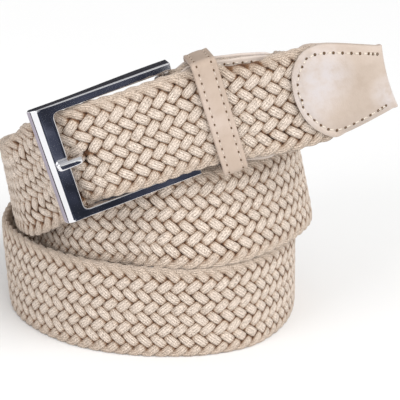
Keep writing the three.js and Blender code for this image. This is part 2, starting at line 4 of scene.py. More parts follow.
import bpy
import numpy as np
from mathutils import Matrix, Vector


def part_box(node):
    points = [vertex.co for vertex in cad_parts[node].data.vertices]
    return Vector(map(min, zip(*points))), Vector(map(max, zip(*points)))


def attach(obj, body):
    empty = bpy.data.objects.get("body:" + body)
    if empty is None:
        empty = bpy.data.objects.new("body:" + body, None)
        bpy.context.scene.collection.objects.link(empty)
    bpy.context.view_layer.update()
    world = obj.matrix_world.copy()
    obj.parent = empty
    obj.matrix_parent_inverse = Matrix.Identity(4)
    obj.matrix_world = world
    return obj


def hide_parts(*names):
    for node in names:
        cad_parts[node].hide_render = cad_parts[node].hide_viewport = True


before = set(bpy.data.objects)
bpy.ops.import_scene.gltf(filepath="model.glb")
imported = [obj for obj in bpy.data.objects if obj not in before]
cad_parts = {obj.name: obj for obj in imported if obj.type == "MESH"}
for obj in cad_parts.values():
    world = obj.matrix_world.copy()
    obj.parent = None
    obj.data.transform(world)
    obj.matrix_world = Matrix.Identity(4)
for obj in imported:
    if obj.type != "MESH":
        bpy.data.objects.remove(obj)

MM = 0.001
RAD = math.pi / 180

# Sizes in millimetres: those of the solids, but TIP_WIDTH is 1 mm more and KEEPER_WIDTH 1 mm less
BAND_WIDTH = 35.0
BAND_THICKNESS = 3.6
COIL_REACH = 56.0
FLOOR_SINK = 0.1
LEATHER = 1.2
TAB_WIDTH = 36.5
TAB_HEEL_WIDTH = 33.6
TAB_LENGTH = 41.0
TIP_WIDTH = 34.2
TIP_LENGTH = 36.0
TIP_SKEW = 8.0
KEEPER_WIDTH = 9.0
KEEPER_THICKNESS = 1.5
KEEPER_OFFSET = 14.0
KEEPER_SKEW = 7.5
FRAME_LENGTH = 51.0
OUTER_BAR_WIDTH = 7.8
OUTER_BAR_DEPTH = 3.8
RAIL_DEPTH = 5.4
HEEL_BAR_RADIUS = 1.3
HEEL_BAR_INSET = 3.5
HEEL_BAR_SET_BACK = 0.6
PRONG_WIDTH = 3.6
PRONG_THICKNESS = 2.2
PRONG_EYE_WALL = 1.1
BUCKLE_YAW = 17.0
BUCKLE_SLOPE = 16.0
BUCKLE_CENTRE = (-0.193 * COIL_REACH, -1.125 * COIL_REACH, 2.417 * BAND_WIDTH)
CLEARANCE = 0.3
FOLD_ROOM = 0.3
FREE_RUN = 1.3536 * COIL_REACH
BACK_DROP = 0.3

# Buckle axes: u along the rails, n out to the viewer, w up along the outer bar
yaw, slope = BUCKLE_YAW * RAD, BUCKLE_SLOPE * RAD
AXIS_U = np.array([math.cos(yaw) * math.cos(slope), math.sin(yaw) * math.cos(slope), math.sin(slope)])
AXIS_N = np.array([math.sin(yaw), -math.cos(yaw), 0.0])
AXIS_W = np.cross(AXIS_N, AXIS_U)
if AXIS_W[2] < 0:
    AXIS_W = -AXIS_W


def at_buckle(u, n, w):
    return np.array(BUCKLE_CENTRE) + u * AXIS_U + n * AXIS_N + w * AXIS_W


HEEL_U = FRAME_LENGTH / 2 - HEEL_BAR_INSET
HEEL_N = -HEEL_BAR_SET_BACK
LEAF_INNER = BAND_THICKNESS / 2 + CLEARANCE
LEAF_MIDDLE = LEAF_INNER + LEATHER / 2
LEAF_OUTER = LEAF_INNER + LEATHER
LAYER_PITCH = LEAF_OUTER + 2 * CLEARANCE + BAND_THICKNESS / 2
FRONT_N = HEEL_N + LAYER_PITCH
BAR_FRONT_N = RAIL_DEPTH / 2
UNDER_BAR_N = BAR_FRONT_N - OUTER_BAR_DEPTH - 2 * CLEARANCE - BAND_THICKNESS / 2
BAR_INNER_U = OUTER_BAR_WIDTH - FRAME_LENGTH / 2

# The solids stand about the bottom centre of their box: the heel bar shows by how much they moved
low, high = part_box("heel_bar")
SHIFT = np.array((low + high) / 2) / MM - at_buckle(HEEL_U, HEEL_N, 0)

# Camera, at the angle of the photograph
ELEVATION = 19.15 * RAD
DISTANCE = 520.0
AIM = np.array([18.1, 0.0, 41.8]) + SHIFT
camera_data = bpy.data.cameras.new("camera")
camera = bpy.data.objects.new("camera", camera_data)
bpy.context.scene.collection.objects.link(camera)
camera_data.lens = 117.0
camera_data.sensor_width = 36.0
camera_data.clip_start = 0.01
camera_data.clip_end = 20.0
eye = (AIM + DISTANCE * np.array([0.0, -math.cos(ELEVATION), math.sin(ELEVATION)])) * MM
camera.location = Vector(eye)
camera.rotation_euler = (Vector(AIM * MM) - Vector(eye)).to_track_quat("-Z", "Y").to_euler()
bpy.context.scene.camera = camera

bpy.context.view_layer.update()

# The run of the band: turn in degrees, reach as a share of COIL_REACH plus a number of band
# thicknesses, height as a share of BAND_WIDTH, lean in degrees. From 334 to 423 degrees the heights
# are 0.1 to 1.0 mm lower than the solid band's, so that the turns close
COIL_STATIONS = [
    (44, 1.156, 0, 2.685, 1), (54, 1.150, 0, 2.63, 2), (64, 1.040, 0, 2.555, 2),
    (75, 0.900, 0, 2.49, 3), (86, 0.837, 0, 2.40, 2), (100, 0.840, 0, 2.28, 0),
    (120, 0.850, 0, 2.13, 0), (145, 0.846, 0, 1.92, 0), (180, 0.836, 0, 1.69, 0),
    (215, 0.832, 0, 1.50, 0), (250, 0.829, 0, 1.38, 0), (285, 0.825, 0, 1.34, 0),
    (315, 0.836, 0, 1.39, 0), (334, 0.861, 0, 1.432, 0), (348, 0.875, 0, 1.472, -1),
    (360, 0.928, 0, 1.505, -5), (373, 0.980, 0, 1.502, -9), (388, 1.013, 0, 1.511, -10),
    (405, 1.030, 0, 1.542, -9), (423, 1.039, 0, 1.559, -10), (440, 1.039, 0, 1.554, -12),
    (456, 1.018, 0, 1.537, -12), (478, 0.929, 1, 1.457, -8), (505, 0.864, 2, 1.314, -3),
    (540, 0.896, 2, 1.074, 1), (570, 0.932, 2, 0.846, 4), (595, 0.950, 2, 0.663, 5),
    (615, 0.936, 2, 0.530, 4), (635, 0.982, 1, 0.500, 3), (652, 0.936, 1, 0.500, 0),
    (668, 0.904, 1, 0.500, -1), (690, 0.889, 1, 0.500, -2), (708, 0.896, 1, 0.500, -1),
    (726, 0.936, 1, 0.500, 2), (743, 0.984, 1, 0.500, 3), (758, 0.988, 1, 0.500, -1),
    (775, 0.957, 1, 0.500, -1), (792, 0.932, 1, 0.500, 0), (810, 0.907, 1, 0.500, -2),
    (835, 0.878, 1, 0.526, -1), (865, 0.857, 1, 0.640, 0), (900, 0.864, 1, 0.846, 1),
    (930, 0.893, 1, 1.040, 5), (955, 0.936, 1, 1.217, 8), (980, 0.946, 1, 1.371, 8),
    (998, 0.939, 1, 1.468, 8), (1012, 0.950, 1, 1.550, 10), (1028, 1.000, 1, 1.680, 14),
    (1043, 1.071, 1, 1.955, 21),
]
BACK_STATIONS = [
    (HEEL_U, HEEL_N, -0.7 * BACK_DROP),
    (HEEL_U + 0.143 * FREE_RUN, HEEL_N + 0.014 * FREE_RUN, -1.3 * BACK_DROP),
    (HEEL_U + 0.264 * FREE_RUN, HEEL_N + 0.026 * FREE_RUN, -BACK_DROP - 0.025 * FREE_RUN),
    (HEEL_U + 0.385 * FREE_RUN, HEEL_N + 0.036 * FREE_RUN, -BACK_DROP - 0.060 * FREE_RUN),
]
RISE = FRONT_N - UNDER_BAR_N
FRONT_STATIONS = [
    (BAR_INNER_U - 3.4, UNDER_BAR_N - 3.8, -2.2, 0.96, 4),
    (BAR_INNER_U, UNDER_BAR_N - 1.4, -0.9, 0.965, 4),
    (BAR_INNER_U + 4.5, UNDER_BAR_N + 0.25 * RISE, -0.3, 0.975, 2),
    (BAR_INNER_U + 9, UNDER_BAR_N + 0.48 * RISE, 0, 0.985, 0),
    (BAR_INNER_U + 17, UNDER_BAR_N + 0.74 * RISE, 0, 0.995, 0),
    (BAR_INNER_U + 27, UNDER_BAR_N + 0.90 * RISE, 0, 1, 0),
    (HEEL_U, FRONT_N, 0, 1, 0),
]
for along, out, drop, width in [
    (0.143, 0.017, 0.008, 1), (0.264, 0.029, 0.022, 1), (0.49, 0.060, 0.057, 1.01),
    (0.69, 0.083, 0.071, 0.98), (0.85, 0.101, 0.087, 0.95), (1, 0.117, 0.102, 0.94),
]:
    FRONT_STATIONS.append((HEEL_U + along * FREE_RUN, FRONT_N + out * FREE_RUN, -drop * FREE_RUN, width, 0))


def buckle_station(u, n, w, turns, width=1.0, tuck=0.0):
    p = at_buckle(u, n, w)
    turn = math.atan2(p[0], -p[1]) / RAD + 360 * turns
    return [turn, math.hypot(p[0], p[1]), p[2], None, width, tuck]


stations = [buckle_station(u, n, w, 0) for u, n, w in BACK_STATIONS]
for turn, reach, nest, height, lean in COIL_STATIONS:
    z = height * BAND_WIDTH - (FLOOR_SINK if height == 0.5 else 0)
    stations.append([turn, reach * COIL_REACH + nest * BAND_THICKNESS, z, lean, 1.0, 0])
stations += [buckle_station(u, n, w, 3, width, tuck) for u, n, w, width, tuck in FRONT_STATIONS]
TURNS = np.array([row[0] for row in stations])


def column(values, turn):
    """Smooth value of one column between the stations."""
    v = np.array(values, float)
    gap = np.diff(TURNS)
    rise = np.diff(v) / gap
    slopes = np.empty(len(v))
    slopes[0], slopes[-1] = rise[0], rise[-1]
    slopes[1:-1] = (rise[:-1] * gap[1:] + rise[1:] * gap[:-1]) / (gap[:-1] + gap[1:])
    i = np.clip(np.searchsorted(TURNS, turn, side="left") - 1, 0, len(v) - 2)
    t = (turn - TURNS[i]) / gap[i]
    t2, t3 = t * t, t * t * t
    return ((2 * t3 - 3 * t2 + 1) * v[i] + (t3 - 2 * t2 + t) * gap[i] * slopes[i]
            + (3 * t2 - 2 * t3) * v[i + 1] + (t3 - t2) * gap[i] * slopes[i + 1])


def place(turn):
    reach = column([row[1] for row in stations], turn)
    height = column([row[2] for row in stations], turn)
    return np.stack([reach * np.sin(turn * RAD), -reach * np.cos(turn * RAD), height], -1)


def unit(v):
    return v / np.linalg.norm(v, axis=-1, keepdims=True)


def direction(turn):
    return unit(place(np.minimum(turn + 0.25, TURNS[-1])) - place(np.maximum(turn - 0.25, TURNS[0])))


for row in stations:
    if row[3] is None:
        along = direction(np.array([row[0]]))[0]
        level = unit(np.array([along[1], -along[0], 0.0]))
        up = np.array([0, 0, 1.0]) - along[2] * along
        row[3] = math.atan2(up @ up * (AXIS_W @ level), AXIS_W @ up) / RAD + row[5]

RULER = np.linspace(TURNS[0], TURNS[-1], 9001)
MIDDLE = place(RULER)
LENGTHS = np.concatenate([[0], np.cumsum(np.linalg.norm(np.diff(MIDDLE, axis=0), axis=1))])
ALONG = direction(RULER)
_level = unit(np.stack([ALONG[:, 1], -ALONG[:, 0], 0 * ALONG[:, 0]], -1))
_lean = column([row[3] for row in stations], RULER)[:, None] * RAD
_up = np.cos(_lean) * np.array([0, 0, 1.0]) + np.sin(_lean) * _level
WIDE = unit(_up - np.sum(_up * ALONG, -1, keepdims=True) * ALONG)
OUT = unit(np.cross(ALONG, WIDE))
NARROW = column([row[4] for row in stations], RULER)
RUN = LENGTHS[-1]
TIP_START = RUN - TIP_LENGTH
BAND_START = HEEL_BAR_RADIUS + CLEARANCE + PRONG_EYE_WALL + CLEARANCE
BAND_END = TIP_START + 0.62 * TIP_LENGTH


def along_run(table, length):
    length = np.asarray(length, float)
    if table.ndim == 1:
        return np.interp(length, LENGTHS, table)
    return np.stack([np.interp(length, LENGTHS, table[:, k]) for k in range(table.shape[1])], -1)


def on_band(length, w, n):
    """Points of the row frame, in millimetres, at a length of the run, across it and out of it."""
    held = np.clip(length, 0, RUN)
    past = np.asarray(length - held)[..., None]
    return (along_run(MIDDLE, held) + past * along_run(ALONG, held)
            + np.asarray(w)[..., None] * along_run(WIDE, held)
            + np.asarray(n)[..., None] * along_run(OUT, held) + SHIFT)


def smooth(a, b, x):
    t = np.clip((x - a) / (b - a), 0, 1)
    return t * t * (3 - 2 * t)


def length_at_buckle(u, turns_from):
    """Length along the run where its middle passes u in the buckle, after that turn."""
    from_row = np.searchsorted(RULER, turns_from)
    us = (MIDDLE[from_row:] - np.array(BUCKLE_CENTRE)) @ AXIS_U
    return LENGTHS[from_row + int(np.argmax(us >= u))]


# Meshes
def new_mesh(name, points, faces, smooth_faces=True):
    mesh = bpy.data.meshes.new(name)
    mesh.from_pydata((np.asarray(points) * MM).tolist(), [], faces)
    mesh.polygons.foreach_set("use_smooth", [smooth_faces] * len(mesh.polygons))
    mesh.update()
    thing = bpy.data.objects.new(name, mesh)
    bpy.context.scene.collection.objects.link(thing)
    return thing


def tube_faces(rings, corners, start=0, caps=True, closed=False):
    faces = []
    last = rings if closed else rings - 1
    for i in range(last):
        a0 = start + i * corners
        b0 = start + ((i + 1) % rings) * corners
        for k in range(corners):
            k2 = (k + 1) % corners
            faces.append((a0 + k, a0 + k2, b0 + k2, b0 + k))
    if caps and not closed:
        faces.append(tuple(start + k for k in reversed(range(corners))))
        faces.append(tuple(start + (rings - 1) * corners + k for k in range(corners)))
    return faces


def point_attribute(thing, name, values):
    attribute = thing.data.attributes.new(name, "FLOAT", "POINT")
    attribute.data.foreach_set("value", np.asarray(values, np.float32))


# Braid
STRANDS = 17
STRAND_PITCH = 5.1
PERIOD = STRANDS * STRAND_PITCH
BRAID_SPAN = 33.4
EDGE_TURN = 0.020
EDGE_REACH = 0.955
STRAND_HALF_WIDE = 1.70
STRAND_HALF_THICK = 0.92
LAYER_RISE = BAND_THICKNESS / 2 - STRAND_HALF_THICK
SECTION_CORNERS = 12
RINGS_PER_CROSSING = 3
PRONG_HOLE_U = BAR_INNER_U + 4.9
PRONG_AT = length_at_buckle(PRONG_HOLE_U, 1047)


def zigzag(x):
    """1 at x = 0, -1 at x = 0.5, with rounded turns."""
    x = np.mod(x, 1.0)
    d = np.minimum(x, 1 - x)
    far = 0.5 - d
    base = 1 - 4 * d
    top = 1 - 4 * (d * d / (2 * EDGE_TURN) + EDGE_TURN / 2)
    bottom = -1 + 4 * (far * far / (2 * EDGE_TURN) + EDGE_TURN / 2)
    value = 1.09 * np.where(d < EDGE_TURN, top, np.where(far < EDGE_TURN, bottom, base))
    spare = EDGE_REACH - np.abs(value)
    return np.sign(value) * (EDGE_REACH - 0.5 * (spare + np.sqrt(spare * spare + 0.0006)))


def over_under(x):
    """1 where a strand lies on the outer side, -1 where it lies on the inner side."""
    q = np.mod(x, 0.5) * 2 * STRANDS
    c = np.cos(math.pi * (q - 1.5) / 2)
    f = 1.16 * c / np.sqrt(c * c + 0.3)
    ending = np.clip((q - STRANDS + 1 - 0.35) / 0.65, 0, 1)
    starting = np.clip(q / 0.65, 0, 1)
    f = np.where(q > STRANDS - 1, -0.92 * np.cos(ending * math.pi / 2), f)
    return np.where(q < 1, 0.92 * np.sin(starting * math.pi / 2), f)


def round_the_prong(length, w):
    """Moves the strands apart where the prong comes through."""
    x = (length - PRONG_AT) / 3.5
    y = w / 2.5
    r = np.sqrt(x * x + y * y) + 1e-6
    pushed = (r ** 2.6 + 0.92) ** (1 / 2.6)
    near = r < 4
    grow = np.where(near, pushed / r, 1.0)
    return PRONG_AT + x * grow * 3.5, y * grow * 2.5


def braid_half_width(length):
    """The band's own half width as a share, less inside the tip."""
    share = (length - TIP_START) / TIP_LENGTH
    inside = (tip_half(share) - 2.8) / (BAND_WIDTH / 2)
    own = along_run(NARROW, length) * 1.025
    return np.where(share > 0.32, np.minimum(own, inside), own)


TIP_SHAPE = np.array([
    (0, 0.0), (0.003, 0.12), (0.01, 0.25), (0.02, 0.36), (0.04, 0.50), (0.06, 0.60), (0.11, 0.76),
    (0.17, 0.89), (0.225, 0.965), (0.27, 0.995), (0.33, 1.0), (0.40, 0.985), (0.47, 0.96),
    (0.64, 0.87), (0.80, 0.77), (0.94, 0.68), (1.0, 0.62),
])


def tip_half(share):
    return np.interp(share, TIP_SHAPE[:, 0], TIP_SHAPE[:, 1]) * TIP_WIDTH / 2


KEEPER_AT = float(np.interp(buckle_station(HEEL_U + KEEPER_OFFSET, FRONT_N + 1.5, 0, 3)[0], RULER, LENGTHS))


def settle(length, w):
    """Past the keeper the strap's upper edge sits a little lower."""
    past = smooth(KEEPER_AT, KEEPER_AT + 6, length) * (1 - smooth(KEEPER_AT + 13, KEEPER_AT + 25, length))
    return w - 1.0 * past * (1 + 2 * w / BAND_WIDTH)


def build_strands(name, numbers, rng):
    step = PERIOD / (2 * STRANDS * RINGS_PER_CROSSING)
    count = int((BAND_END - BAND_START) / step)
    lengths = np.linspace(BAND_START, BAND_END, count)
    angles = np.arange(SECTION_CORNERS) * 2 * math.pi / SECTION_CORNERS
    sec_x = np.sign(np.cos(angles)) * np.abs(np.cos(angles)) ** 0.85
    sec_y = np.sign(np.sin(angles)) * np.abs(np.sin(angles)) ** 0.5
    points, faces, uv_u, uv_v, rise, tint = [], [], [], [], [], []
    for k in numbers:
        x = lengths / PERIOD + k / STRANDS
        jitter = rng.normal(0, 0.10, int((RUN + 8) / 7.0) + 1)
        wander = np.interp(lengths, np.arange(0, RUN + 8, 7.0), jitter)
        side_share = zigzag(x)
        w = side_share * BRAID_SPAN / 2 * braid_half_width(lengths) + wander
        n = over_under(x) * LAYER_RISE * (1 - 0.42 * smooth(0.78, 0.95, np.abs(side_share)))
        moved, w = round_the_prong(lengths, w)
        w = settle(moved, w)
        centre = on_band(moved, w, n)
        tangent = unit(np.gradient(centre, axis=0))
        outward = along_run(OUT, moved)
        side = unit(np.cross(outward, tangent))
        lift = np.cross(tangent, side)
        wide = STRAND_HALF_WIDE * (1 + rng.normal(0, 0.02))
        swell = np.interp(lengths, np.arange(0, RUN + 6, 5.0), rng.normal(1, 0.02, int((RUN + 6) / 5.0) + 1))
        lifted = np.abs(n) / LAYER_RISE
        upward = np.where(np.mod(x, 1.0) > 0.5, 1.03, 0.98)
        half_w = (wide * swell * upward * (0.96 + 0.12 * lifted))[:, None, None]
        half_t = (STRAND_HALF_THICK * swell)[:, None, None]
        ring = (centre[:, None] + side[:, None] * half_w * sec_x[None, :, None]
                + lift[:, None] * half_t * sec_y[None, :, None])
        ring[..., 2] = np.maximum(ring[..., 2], 0.02)
        base = along_run(MIDDLE, moved) + SHIFT
        # Each point's depth from the band's middle goes into the "rise" attribute. The yarn material uses it to paint
        # shade where the yarn lies low between the strands. Near the band's edges the depth is set so the yarn there is
        # painted in the light tone.
        shade_depth = np.abs(np.sum((ring - base[:, None]) * outward[:, None], -1))
        sideways = along_run(WIDE, moved)[:, None]
        across = np.abs(np.sum((ring - base[:, None]) * sideways, -1)) / (BAND_WIDTH / 2)
        at_edge = smooth(0.87, 0.97, across)
        shade_depth = shade_depth * (1 - at_edge) + 1.5 * at_edge
        start = len(points) * count * SECTION_CORNERS
        faces += tube_faces(count, SECTION_CORNERS, start)
        points.append(ring.reshape(-1, 3))
        rise.append(shade_depth.reshape(-1))
        tint.append(np.full(count * SECTION_CORNERS, rng.random()))
        uv_u.append(np.repeat(lengths / math.cos(0.66), SECTION_CORNERS))
        uv_v.append(np.tile(np.arange(SECTION_CORNERS) / SECTION_CORNERS, count))
    thing = new_mesh(name, np.concatenate(points), faces)
    point_attribute(thing, "rise", np.concatenate(rise))
    point_attribute(thing, "tint", np.concatenate(tint))
    us, vs = np.concatenate(uv_u), np.concatenate(uv_v)
    corner_vertex = np.empty(len(thing.data.loops), np.int32)
    thing.data.loops.foreach_get("vertex_index", corner_vertex)
    corner_v = vs[corner_vertex]
    layer = thing.data.uv_layers.new(name="yarn")
    sizes = np.empty(len(thing.data.polygons), np.int32)
    thing.data.polygons.foreach_get("loop_total", sizes)
    first = np.concatenate([[0], np.cumsum(sizes)[:-1]])
    quads = first[sizes == 4][:, None] + np.arange(4)
    quad_v = corner_v[quads]
    wraps = (quad_v.max(1) > 0.9) & (quad_v.min(1) < 0.05)
    quad_v[wraps] = np.where(quad_v[wraps] < 0.05, 1.0, quad_v[wraps])
    corner_v[quads] = quad_v
    layer.data.foreach_set("uv", np.stack([us[corner_vertex], corner_v], -1).reshape(-1).astype(np.float32))
    return thing


# Node materials
def material(name):
    m = bpy.data.materials.new(name)
    m.use_nodes = True
    tree = m.node_tree
    shader = tree.nodes["Principled BSDF"]
    return m, tree, shader


def node(tree, kind, **inputs):
    made = tree.nodes.new(kind)
    for key, value in inputs.items():
        if key.startswith("_"):
            setattr(made, key[1:], value)
        else:
            made.inputs[key.replace("_", " ")].default_value = value
    return made


def maths(tree, operation, a, b=None):
    made = tree.nodes.new("ShaderNodeMath")
    made.operation = operation
    for socket, value in zip(made.inputs, (a, b)):
        if value is None:
            continue
        if isinstance(value, (int, float)):
            socket.default_value = value
        else:
            tree.links.new(value, socket)
    return made.outputs[0]


def ramp(tree, value, stops):
    made = tree.nodes.new("ShaderNodeValToRGB")
    tree.links.new(value, made.inputs[0])
    elements = made.color_ramp.elements
    while len(elements) < len(stops):
        elements.new(0.5)
    for element, (where, colour) in zip(elements, stops):
        element.position = where
        element.color = colour if len(colour) == 4 else (*colour, 1)
    return made.outputs[0]


def mix_colour(tree, share, a, b, how="MIX"):
    made = tree.nodes.new("ShaderNodeMix")
    made.data_type = "RGBA"
    made.blend_type = how
    for socket, value in ((made.inputs[0], share), (made.inputs[6], a), (made.inputs[7], b)):
        if isinstance(value, (int, float)):
            socket.default_value = value
        elif isinstance(value, tuple):
            socket.default_value = value if len(value) == 4 else (*value, 1)
        else:
            tree.links.new(value, socket)
    return made.outputs[2]


def srgb(r, g, b):
    def linear(c):
        c /= 255
        return c / 12.92 if c <= 0.04045 else ((c + 0.055) / 1.055) ** 2.4
    return (linear(r), linear(g), linear(b))


def yarn_material():
    m, tree, shader = material("braided_yarn")
    links = tree.links
    uv = node(tree, "ShaderNodeUVMap", _uv_map="yarn")
    split = tree.nodes.new("ShaderNodeSeparateXYZ")
    links.new(uv.outputs[0], split.inputs[0])
    u, v = split.outputs[0], split.outputs[1]
    wobble = node(tree, "ShaderNodeTexNoise", Scale=0.35, Detail=1.0)
    links.new(uv.outputs[0], wobble.inputs["Vector"])
    ridge_at = maths(tree, "ADD", maths(tree, "MULTIPLY", v, 12.0),
                     maths(tree, "MULTIPLY", wobble.outputs[0], 0.6))
    ridge = maths(tree, "ABSOLUTE", maths(tree, "SINE", maths(tree, "MULTIPLY", ridge_at, math.pi)))
    twist_at = maths(tree, "ADD", maths(tree, "MULTIPLY", u, 9.0), maths(tree, "MULTIPLY", v, 60.0))
    twist = maths(tree, "SINE", twist_at)
    fleck_place = tree.nodes.new("ShaderNodeCombineXYZ")
    links.new(maths(tree, "MULTIPLY", u, 1.5), fleck_place.inputs[0])
    links.new(maths(tree, "MULTIPLY", v, 16.0), fleck_place.inputs[1])
    tint = node(tree, "ShaderNodeAttribute", _attribute_name="tint")
    links.new(maths(tree, "MULTIPLY", tint.outputs["Fac"], 97.0), fleck_place.inputs[2])
    fleck = node(tree, "ShaderNodeTexNoise", Scale=1.6, Detail=3.0, Roughness=0.7)
    links.new(fleck_place.outputs[0], fleck.inputs["Vector"])
    # Painted shade: warm dark brown where the yarn lies deep between the strands, the light yarn tone where it rises
    rise = node(tree, "ShaderNodeAttribute", _attribute_name="rise")
    gap_shade_colour = ramp(tree, maths(tree, "DIVIDE", rise.outputs["Fac"], 2.0), [
        (0.34, srgb(84, 52, 30)), (0.56, srgb(118, 86, 60)), (0.71, srgb(180, 163, 147)),
        (0.87, srgb(200, 186, 173))])
    flecks = ramp(tree, fleck.outputs[0], [
        (0.35, (0.44, 0.41, 0.38)), (0.48, (0.94, 0.93, 0.93)), (0.62, (1.40, 1.41, 1.42))])
    body = mix_colour(tree, 0.85, gap_shade_colour, flecks, "MULTIPLY")
    # Painted shade in the grooves between the yarns, with a faint painted highlight on their crests
    groove_shade = ramp(tree, ridge, [
        (0.0, (0.60, 0.55, 0.50)), (0.38, (0.99, 0.99, 0.99)), (1.0, (1.04, 1.04, 1.04))])
    colour = mix_colour(tree, 0.7, body, groove_shade, "MULTIPLY")
    links.new(colour, shader.inputs["Base Color"])
    shader.inputs["Roughness"].default_value = 0.82
    shader.inputs["Sheen Weight"].default_value = 0.15
    shader.inputs["Specular IOR Level"].default_value = 0.25
    relief = maths(tree, "ADD", ridge, maths(tree, "MULTIPLY", twist, 0.12))
    relief = maths(tree, "ADD", relief, maths(tree, "MULTIPLY", fleck.outputs[0], 0.9))
    bump = node(tree, "ShaderNodeBump", Strength=0.9, Distance=0.00022)
    links.new(relief, bump.inputs["Height"])
    links.new(bump.outputs[0], shader.inputs["Normal"])
    return m


def leather_material(name, tone, gloss, sheen_patches=()):
    m, tree, shader = material(name)
    links = tree.links
    where = tree.nodes.new("ShaderNodeTexCoord")
    grain = node(tree, "ShaderNodeTexVoronoi", Scale=1500.0)
    links.new(where.outputs["Object"], grain.inputs["Vector"])
    crease = node(tree, "ShaderNodeTexNoise", Scale=260.0, Detail=5.0, Roughness=0.6)
    links.new(where.outputs["Object"], crease.inputs["Vector"])
    cloud = node(tree, "ShaderNodeTexNoise", Scale=45.0, Detail=3.0)
    links.new(where.outputs["Object"], cloud.inputs["Vector"])
    r, g, b = tone
    # Cloud noise: the leather's tone differs at random, and its pale whitish-lavender end is a painted sheen
    tone_low = tuple(c * 0.90 for c in (r, g * 0.985, b * 0.96))
    pale_tone_and_sheen = (r * 1.10, g * 1.13, b * 1.18)
    body = ramp(tree, cloud.outputs[0], [(0.33, tone_low), (0.52, tone), (0.66, pale_tone_and_sheen)])
    # Darker where the crease noise is low, where the bump also sinks
    crease_tone = ramp(tree, crease.outputs[0], [(0.35, (0.90, 0.88, 0.86)), (0.55, (1, 1, 1))])
    body = mix_colour(tree, 0.6, body, crease_tone, "MULTIPLY")
    # Painted sheen: whitish-lavender patches fading out from given spots, broken up by the crease noise
    for spot, radius, strength in sheen_patches:
        away = node(tree, "ShaderNodeVectorMath", _operation="DISTANCE")
        links.new(where.outputs["Object"], away.inputs[0])
        away.inputs[1].default_value = tuple(spot * MM)
        near = ramp(tree, maths(tree, "DIVIDE", away.outputs["Value"], radius * MM), [
            (0.25, (1, 1, 1)), (1.0, (0, 0, 0))])
        share = maths(
            tree, "MULTIPLY", near, ramp(tree, crease.outputs[0], [(0.35, (0.25,) * 3), (0.62, (1,) * 3)]))
        body = mix_colour(tree, maths(tree, "MULTIPLY", share, strength), body,
                          (r * 1.12, g * 1.27, b * 1.52))
    links.new(body, shader.inputs["Base Color"])
    rough = ramp(tree, crease.outputs[0], [(0.3, (gloss + 0.12,) * 3), (0.7, (gloss,) * 3)])
    links.new(rough, shader.inputs["Roughness"])
    shader.inputs["Specular IOR Level"].default_value = 0.5
    shader.inputs["Coat Weight"].default_value = 0.12
    shader.inputs["Coat Roughness"].default_value = 0.3
    relief = maths(tree, "ADD", grain.outputs["Distance"], maths(tree, "MULTIPLY", crease.outputs[0], 1.6))
    bump = node(tree, "ShaderNodeBump", Strength=0.22, Distance=0.00012)
    links.new(relief, bump.inputs["Height"])
    links.new(bump.outputs[0], shader.inputs["Normal"])
    return m


def chrome_material():
    m, tree, shader = material("polished_chrome")
    links = tree.links
    where = tree.nodes.new("ShaderNodeTexCoord")
    smear = node(tree, "ShaderNodeTexNoise", Scale=180.0, Detail=4.0)
    links.new(where.outputs["Object"], smear.inputs["Vector"])
    shader.inputs["Metallic"].default_value = 1.0
    tone = ramp(tree, smear.outputs[0], [(0.3, (0.78, 0.78, 0.80)), (0.7, (0.86, 0.86, 0.88))])
    links.new(tone, shader.inputs["Base Color"])
    rough = ramp(tree, smear.outputs[0], [(0.35, (0.06,) * 3), (0.7, (0.10,) * 3)])
    links.new(rough, shader.inputs["Roughness"])
    scratch = node(tree, "ShaderNodeTexNoise", Scale=900.0, Detail=2.0)
    links.new(where.outputs["Object"], scratch.inputs["Vector"])
    bump = node(tree, "ShaderNodeBump", Strength=0.04, Distance=0.00005)
    links.new(scratch.outputs[0], bump.inputs["Height"])
    links.new(bump.outputs[0], shader.inputs["Normal"])
    return m


def thread_material(name, tone):
    m, tree, shader = material(name)
    where = tree.nodes.new("ShaderNodeTexCoord")
    fuzz = node(tree, "ShaderNodeTexNoise", Scale=2500.0, Detail=2.0)
    tree.links.new(where.outputs["Object"], fuzz.inputs["Vector"])
    low = tuple(c * 0.75 for c in tone)
    tree.links.new(ramp(tree, fuzz.outputs[0], [(0.35, low), (0.65, tone)]), shader.inputs["Base Color"])
    shader.inputs["Roughness"].default_value = 0.7
    return m


YARN = yarn_material()
# The tip's leather, with three spots of painted sheen
LEATHER_SKIN = leather_material("beige_leather", srgb(183, 168, 156), 0.30, [
    (on_band(TIP_START + 0.28 * TIP_LENGTH, 7.0, 3.5), 13.0, 0.75),
    (on_band(TIP_START + 0.16 * TIP_LENGTH, -2.0, 3.5), 9.0, 0.45),
    (on_band(TIP_START + 0.93 * TIP_LENGTH, -4.5, 3.0), 8.0, 0.7)])
# The tab's leather: the tip's beige painted paler, standing in for the light on the tab
TAB_SKIN = leather_material("tab_leather_painted_lighter", srgb(202, 189, 180), 0.34)
KEEPER_SKIN = leather_material("tan_leather", srgb(181, 163, 149), 0.36)
CHROME = chrome_material()
THREAD = thread_material("thread", srgb(206, 192, 178))
LIGHT_THREAD = thread_material("light_thread", srgb(218, 206, 192))
# Painted shade: dark brown for the discs that stand for the shade inside the stitch holes
HOLE_SHADE = thread_material("stitch_hole_shade", srgb(104, 80, 58))
# Painted shade: the dark brown of the sheet in the braid's middle, seen between the strands
GAP_SHADE_SKIN = thread_material("braid_gap_shade", srgb(104, 80, 60))


def dress(thing, skin, replaced=None):
    thing.data.materials.clear()
    thing.data.materials.append(skin)
    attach(thing, "root")
    if replaced:
        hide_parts(*replaced)
    return thing


rng = np.random.default_rng(7)
for letter, numbers in zip("abcd", ((0, 4, 8, 12, 16), (1, 5, 9, 13), (2, 6, 10, 14), (3, 7, 11, 15))):
    strands = build_strands("braid_strands_" + letter, numbers, rng)
    dress(strands, YARN, ["woven_band"])


